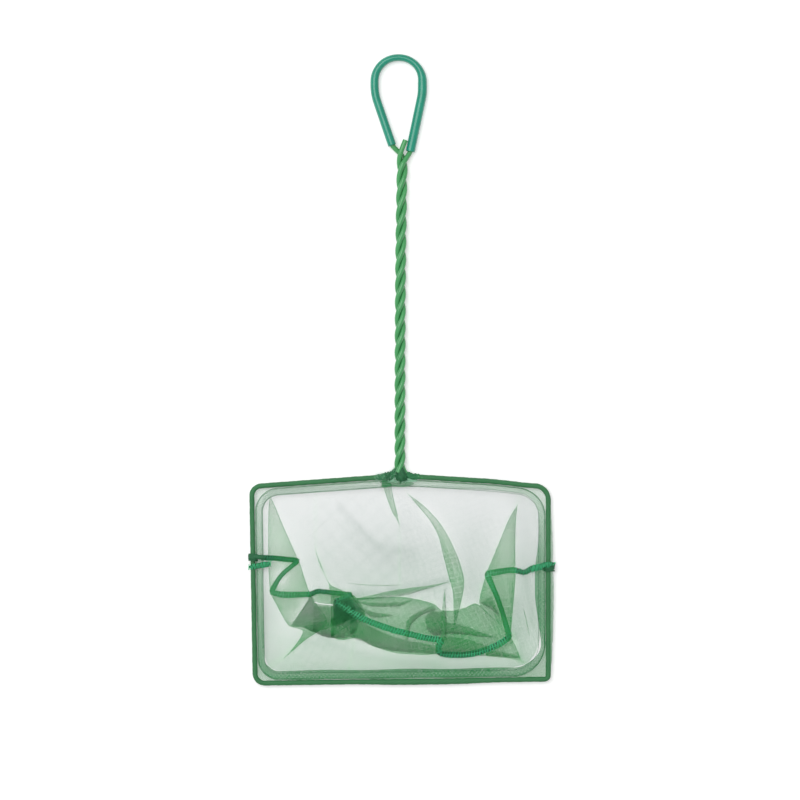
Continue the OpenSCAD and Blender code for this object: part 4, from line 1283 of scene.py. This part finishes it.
# %% Turns of the overlock thread, and the stitches of the hems
seam_wide = along_seam(seam_line, SEAM_WIDTH)
along_line("seam_turns", seam_line + [0, 0, 0.12], thread, "seam_thread",
           veil_and_shade=along_seam(seam_line, SEAM_VEIL_AND_SHADE), wide=seam_wide, Pitch=1.85, Length=4.3,
           Thickness=0.42, Arch=0.5, Slant=1.35, Spread=0.2, Seed=3)
chain = piece("seam_chain", tube(seam_even[4:-4] + [0, 0, 0.92], 0.26, CHAIN_SIDES), thread,
              "seam_thread")
give(chain, "veil_and_shade", np.repeat(along_seam(seam_even, SEAM_VEIL_AND_SHADE)[4:-4], CHAIN_SIDES))
along_line("seam_turns_below", seam_line - [0, 0, 0.12], thread, "seam_thread",
           wide=seam_wide, Pitch=1.15, Length=4.3, Thickness=0.25, Arch=-0.5, Slant=1.9,
           Spread=0.12, Seed=4)
for half in hems:
    d = HEM_IN + 0.31 * HEM_W
    line = lift(inside(half, d, 0.6, hem_radii(half, d), 60, 16), AXIS_Z + 0.42)
    along_line("hem_stitches_" + half, line, dark_thread, "thread", "hem_thread_" + half,
               Pitch=1.6, Length=1.3, Thickness=0.16, Arch=0.16, Slant=0.0, Spread=0.1, Seed=5)

# %% [markdown]
# ## Ties at the sides
# Where the seam ends, its thread is wound round the side wire: a helix whose turns wander
# and lie over one another.

# %% Threads wound round a wire
def wound(middle, way, width, radius, turns, thick, wander=0.2, seed=0):
    """One thread wound round a wire that runs along way, over the given width."""
    r = np.random.default_rng(seed)
    way = unit([*way, 0.0])
    t = np.linspace(0, 1, int(turns * 18) + 1)
    knots = np.linspace(0, 1, int(turns * 3) + 2)
    drift = [np.interp(t, knots, r.normal(0, wander, len(knots))) for _ in range(2)]
    a = 2 * math.pi * turns * t
    to_and_fro = np.interp((t * 2) % 2, [0, 1, 2], [-0.5, 0.5, -0.5])
    out = radius + 0.5 * thick * (t > 0.5) + 0.5 * drift[1]
    line = middle + np.stack([out * np.cos(a), width * to_and_fro + drift[0],
                              out * np.sin(a)], 1) @ [[way[1], -way[0], 0], way, [0, 0, 1]]
    line[:, 2] = np.maximum(line[:, 2], 0.5)
    return line


def route(step, *places):
    return even([px(*place) for place in places], step)


left_bar, right_bar = top_left - bottom_left, top_right - bottom_right
left_tie = wound([*left_join, AXIS_Z], left_bar, 4.6, 2.5, 11, 0.75, seed=1)
right_tie = wound([*right_join, AXIS_Z], right_bar, 5.2, 2.7, 12, 0.8, seed=2)
right_knob = wound(px(549.8, 566.4, AXIS_Z), right_bar, 5.4, 2.6, 9, 0.9, 0.3, seed=5)
left_pull = route(0.7, (264, 557.2, 4.6), (259, 556.9, 5.6), (254.5, 556.4, 6.1),
                  (250.6, 556.2, 5.4), (249.2, 556.2, 3.2))
right_pull = route(0.7, (532, 569.5, 4.4), (538, 567, 5.3), (544, 564.6, 6.1),
                   (549, 564.4, 6.6), (553, 564.8, 5.2), (554, 565, 3.4))
tail_line = route(0.6, (249, 566.8, 5.4), (255.5, 566.2, 6.0), (262, 565.0, 5.6),
                  (270.5, 563.6, 5.2))
tail_share = soft(np.linspace(0, 3, len(tail_line))) * soft(np.linspace(8, 0, len(tail_line)))

piece("side_tie_left", [tube(left_tie, 0.42, 8), tube(left_pull, (1.5, 0.9), 12)],
      dark_thread, "thread", "side_tack_left")
piece("side_tie_right", [tube(right_tie, 0.44, 8), tube(right_knob, 0.44, 8)],
      dark_thread, "thread", "side_tack_right")
piece("seam_end_right", tube(right_pull, (1.7, 0.9), 14), seam_cloth, "seam_thread",
      "bag_seam")
piece("seam_tail_left", tube(tail_line, np.outer(0.4 + 0.6 * tail_share, (1.9, 0.7)), 14),
      seam_cloth, "seam_thread", "bag_seam")
for name, line, slant, seed in (("tail_turns", tail_line, 1.3, 6),
                                ("pull_turns", right_pull, 1.2, 7)):
    along_line(name, line + [0, 0, 0.3], thread, "seam_thread", Pitch=0.95, Length=3.8,
               Thickness=0.26, Arch=0.7, Slant=slant, Spread=0.25, Seed=seed)

# %% [markdown]
# ## Neck
# The cloth is bunched round the roots of the frame and tied with thread. The bunches are
# tubes with deep, uneven wrinkles, and thin fibres stand out of the left one.

# %% Bunched cloth round the roots
def bunch(name, line, thick, seed, finish, *nodes):
    line = even(line, 0.35)
    r = np.random.default_rng(seed)

    def radius(s, a):
        share = s / s[-1]
        folds = sum(r.uniform(0.06, 0.16) * np.sin(
            k * a + r.uniform(-1, 1) * s + r.uniform(0, 6)) for k in (3, 4, 5, 7, 8))
        creases = sum(r.uniform(0.05, 0.1) * np.sin(r.uniform(1.5, 4) * s + k * a)
                      for k in (1, 2, 3))
        close = soft(share / 0.12) * soft((1 - share) / 0.12)
        return (np.interp(share, np.linspace(0, 1, len(thick)), thick)
                + (folds + creases) * close)
    points, faces, uvs = wrinkled(line, 40, radius)
    points[:, 2] = np.maximum(points[:, 2], 0.3)
    return piece(name, (points, faces, uvs), finish, "casing_mesh", *nodes)


def up_the_root(root, way, bar_reach, strand_line, points):
    bar = lift([neck + way * bar_reach, root], AXIS_Z)
    return np.concatenate([even(bar, 0.6)[:-1], strand_line[:points]])


left_bunch = bunch("neck_bunch_left", up_the_root(left_root, left_way, 16.4, cut_strand, 14),
                   [1.7, 1.95, 2.5, 2.8, 2.5, 2.0], 21, gather_cloth, "neck_gather_left")
bunch("neck_bunch_right", up_the_root(right_root, right_way, 13.2, left_strand, 8),
      [1.7, 1.9, 2.3, 2.5, 2.1], 22, gather_cloth, "neck_gather_right")
bunch("neck_knot", np.array([px(401.4, 466.5, 5.4), px(401.6, 470, 5.6), px(401.6, 474.5, 5.1),
                             px(401.6, 480, 4.4)]), [0.7, 2.1, 3.2, 4.0, 3.4], 23, knot_cloth)
grown("neck_fibres", left_bunch, fibres, pale_thread, "casing_mesh", Density=1.1e6,
      Length=3.0, Thickness=0.05, Arch=0.7, Lean=1.2, Seed=9)

# %% Threads of the neck
binding = [
    wound(px(401.4, 474.5, AXIS_Z + 0.5), (0.1, 1.0), 2.8, 3.0, 5, 0.4, 0.15, seed=31),
    wound(px(402.5, 476.5, AXIS_Z), (1.0, 0.35), 5.0, 2.9, 6, 0.7, 0.4, seed=32),
    wound([*(neck + left_way * 8.0), AXIS_Z], left_way, 3.0, 2.9, 4, 0.6, 0.3, seed=33)]
piece("neck_binding", [tube(line, 0.34, 8) for line in binding], dark_thread, "thread",
      "neck_tack_left", "neck_tack_right")


def tangle(low, high, z, count, length, seed):
    """Short threads in an uneven patch, all more or less along the hem."""
    r = np.random.default_rng(seed)
    t, out = np.linspace(-1, 1, 9), []
    for _ in range(count):
        x, y = r.uniform(low, high)
        a, half = r.normal(0.05, 0.2), length * r.uniform(0.4, 0.75)
        bend = r.normal(0, 0.5)
        line = np.stack([x + t * half * math.cos(a), y + t * half * math.sin(a) + bend * t * t,
                         z + 0.5 * (1 - t * t) + r.uniform(-0.15, 0.3)], 1)
        out.append(tube(line, r.uniform(0.16, 0.28), 7))
    return out


def small_folds(name, a, b, count):
    """Folds of net on the hem at the neck: a few sheets on one another between two lines."""
    t = np.linspace(0, 1, 13)[:, None, None]
    a, b = (np.array([px(x, y, AXIS_Z + 0.55) for x, y in line]) for line in (a, b))
    sheets = []
    for k in range(count):
        grid = a * (1 - t) + b * t
        grid[:, :, 2] += 0.17 * k + 0.25 * np.sin(2.2 * grid[:, :, 0] + 1.3 * grid[:, :, 1] + k)
        sheets.append(strip(grid, turned_uv(grid, 0.5 + 0.8 * k, 0.3 * k)))
    made = piece("neck_fold_" + name, sheets, band_cloth, "hem_mesh", closed=False)
    give(made, "closeness_and_shade", np.ones(len(made.data.vertices)))


small_folds("middle", [(390, 481.5), (394, 480.6), (402, 480.9), (408, 481.6), (414, 483)],
            [(390.5, 484), (394, 486.6), (402, 487.3), (408, 486.4), (414, 484)], 4)
small_folds("left", [(382, 480), (386, 479.6), (390.5, 480.6)],
            [(381.4, 487), (386, 487.6), (390.5, 485.6)], 6)
for name, finish, count, low, high in (
        ("green", edge_thread, 8, (383, 486.5), (389, 481)),
        ("pale", pale_thread, 26, (387, 481.5), (399, 477.5)),
        ("pale_right", pale_thread, 22, (404, 482), (415, 478))):
    patch = tangle(px(*low), px(*high), AXIS_Z + 0.7, count, 4.0, 41 + count)
    piece("neck_tangle_" + name, patch, finish, "thread")

# %% A painted highlight: a thin white line between the lobe and the seam
glint = route(0.8, (314.5, 602.2), (319, 603.8), (326, 604.5), (333, 605.2))
glint = lift(glint, GROUND + 0.9 + height_at(heap_top, glint))
piece("painted_highlight_line", tube(glint, (0.42, 0.15), 8), white_thread, "bag_mesh")
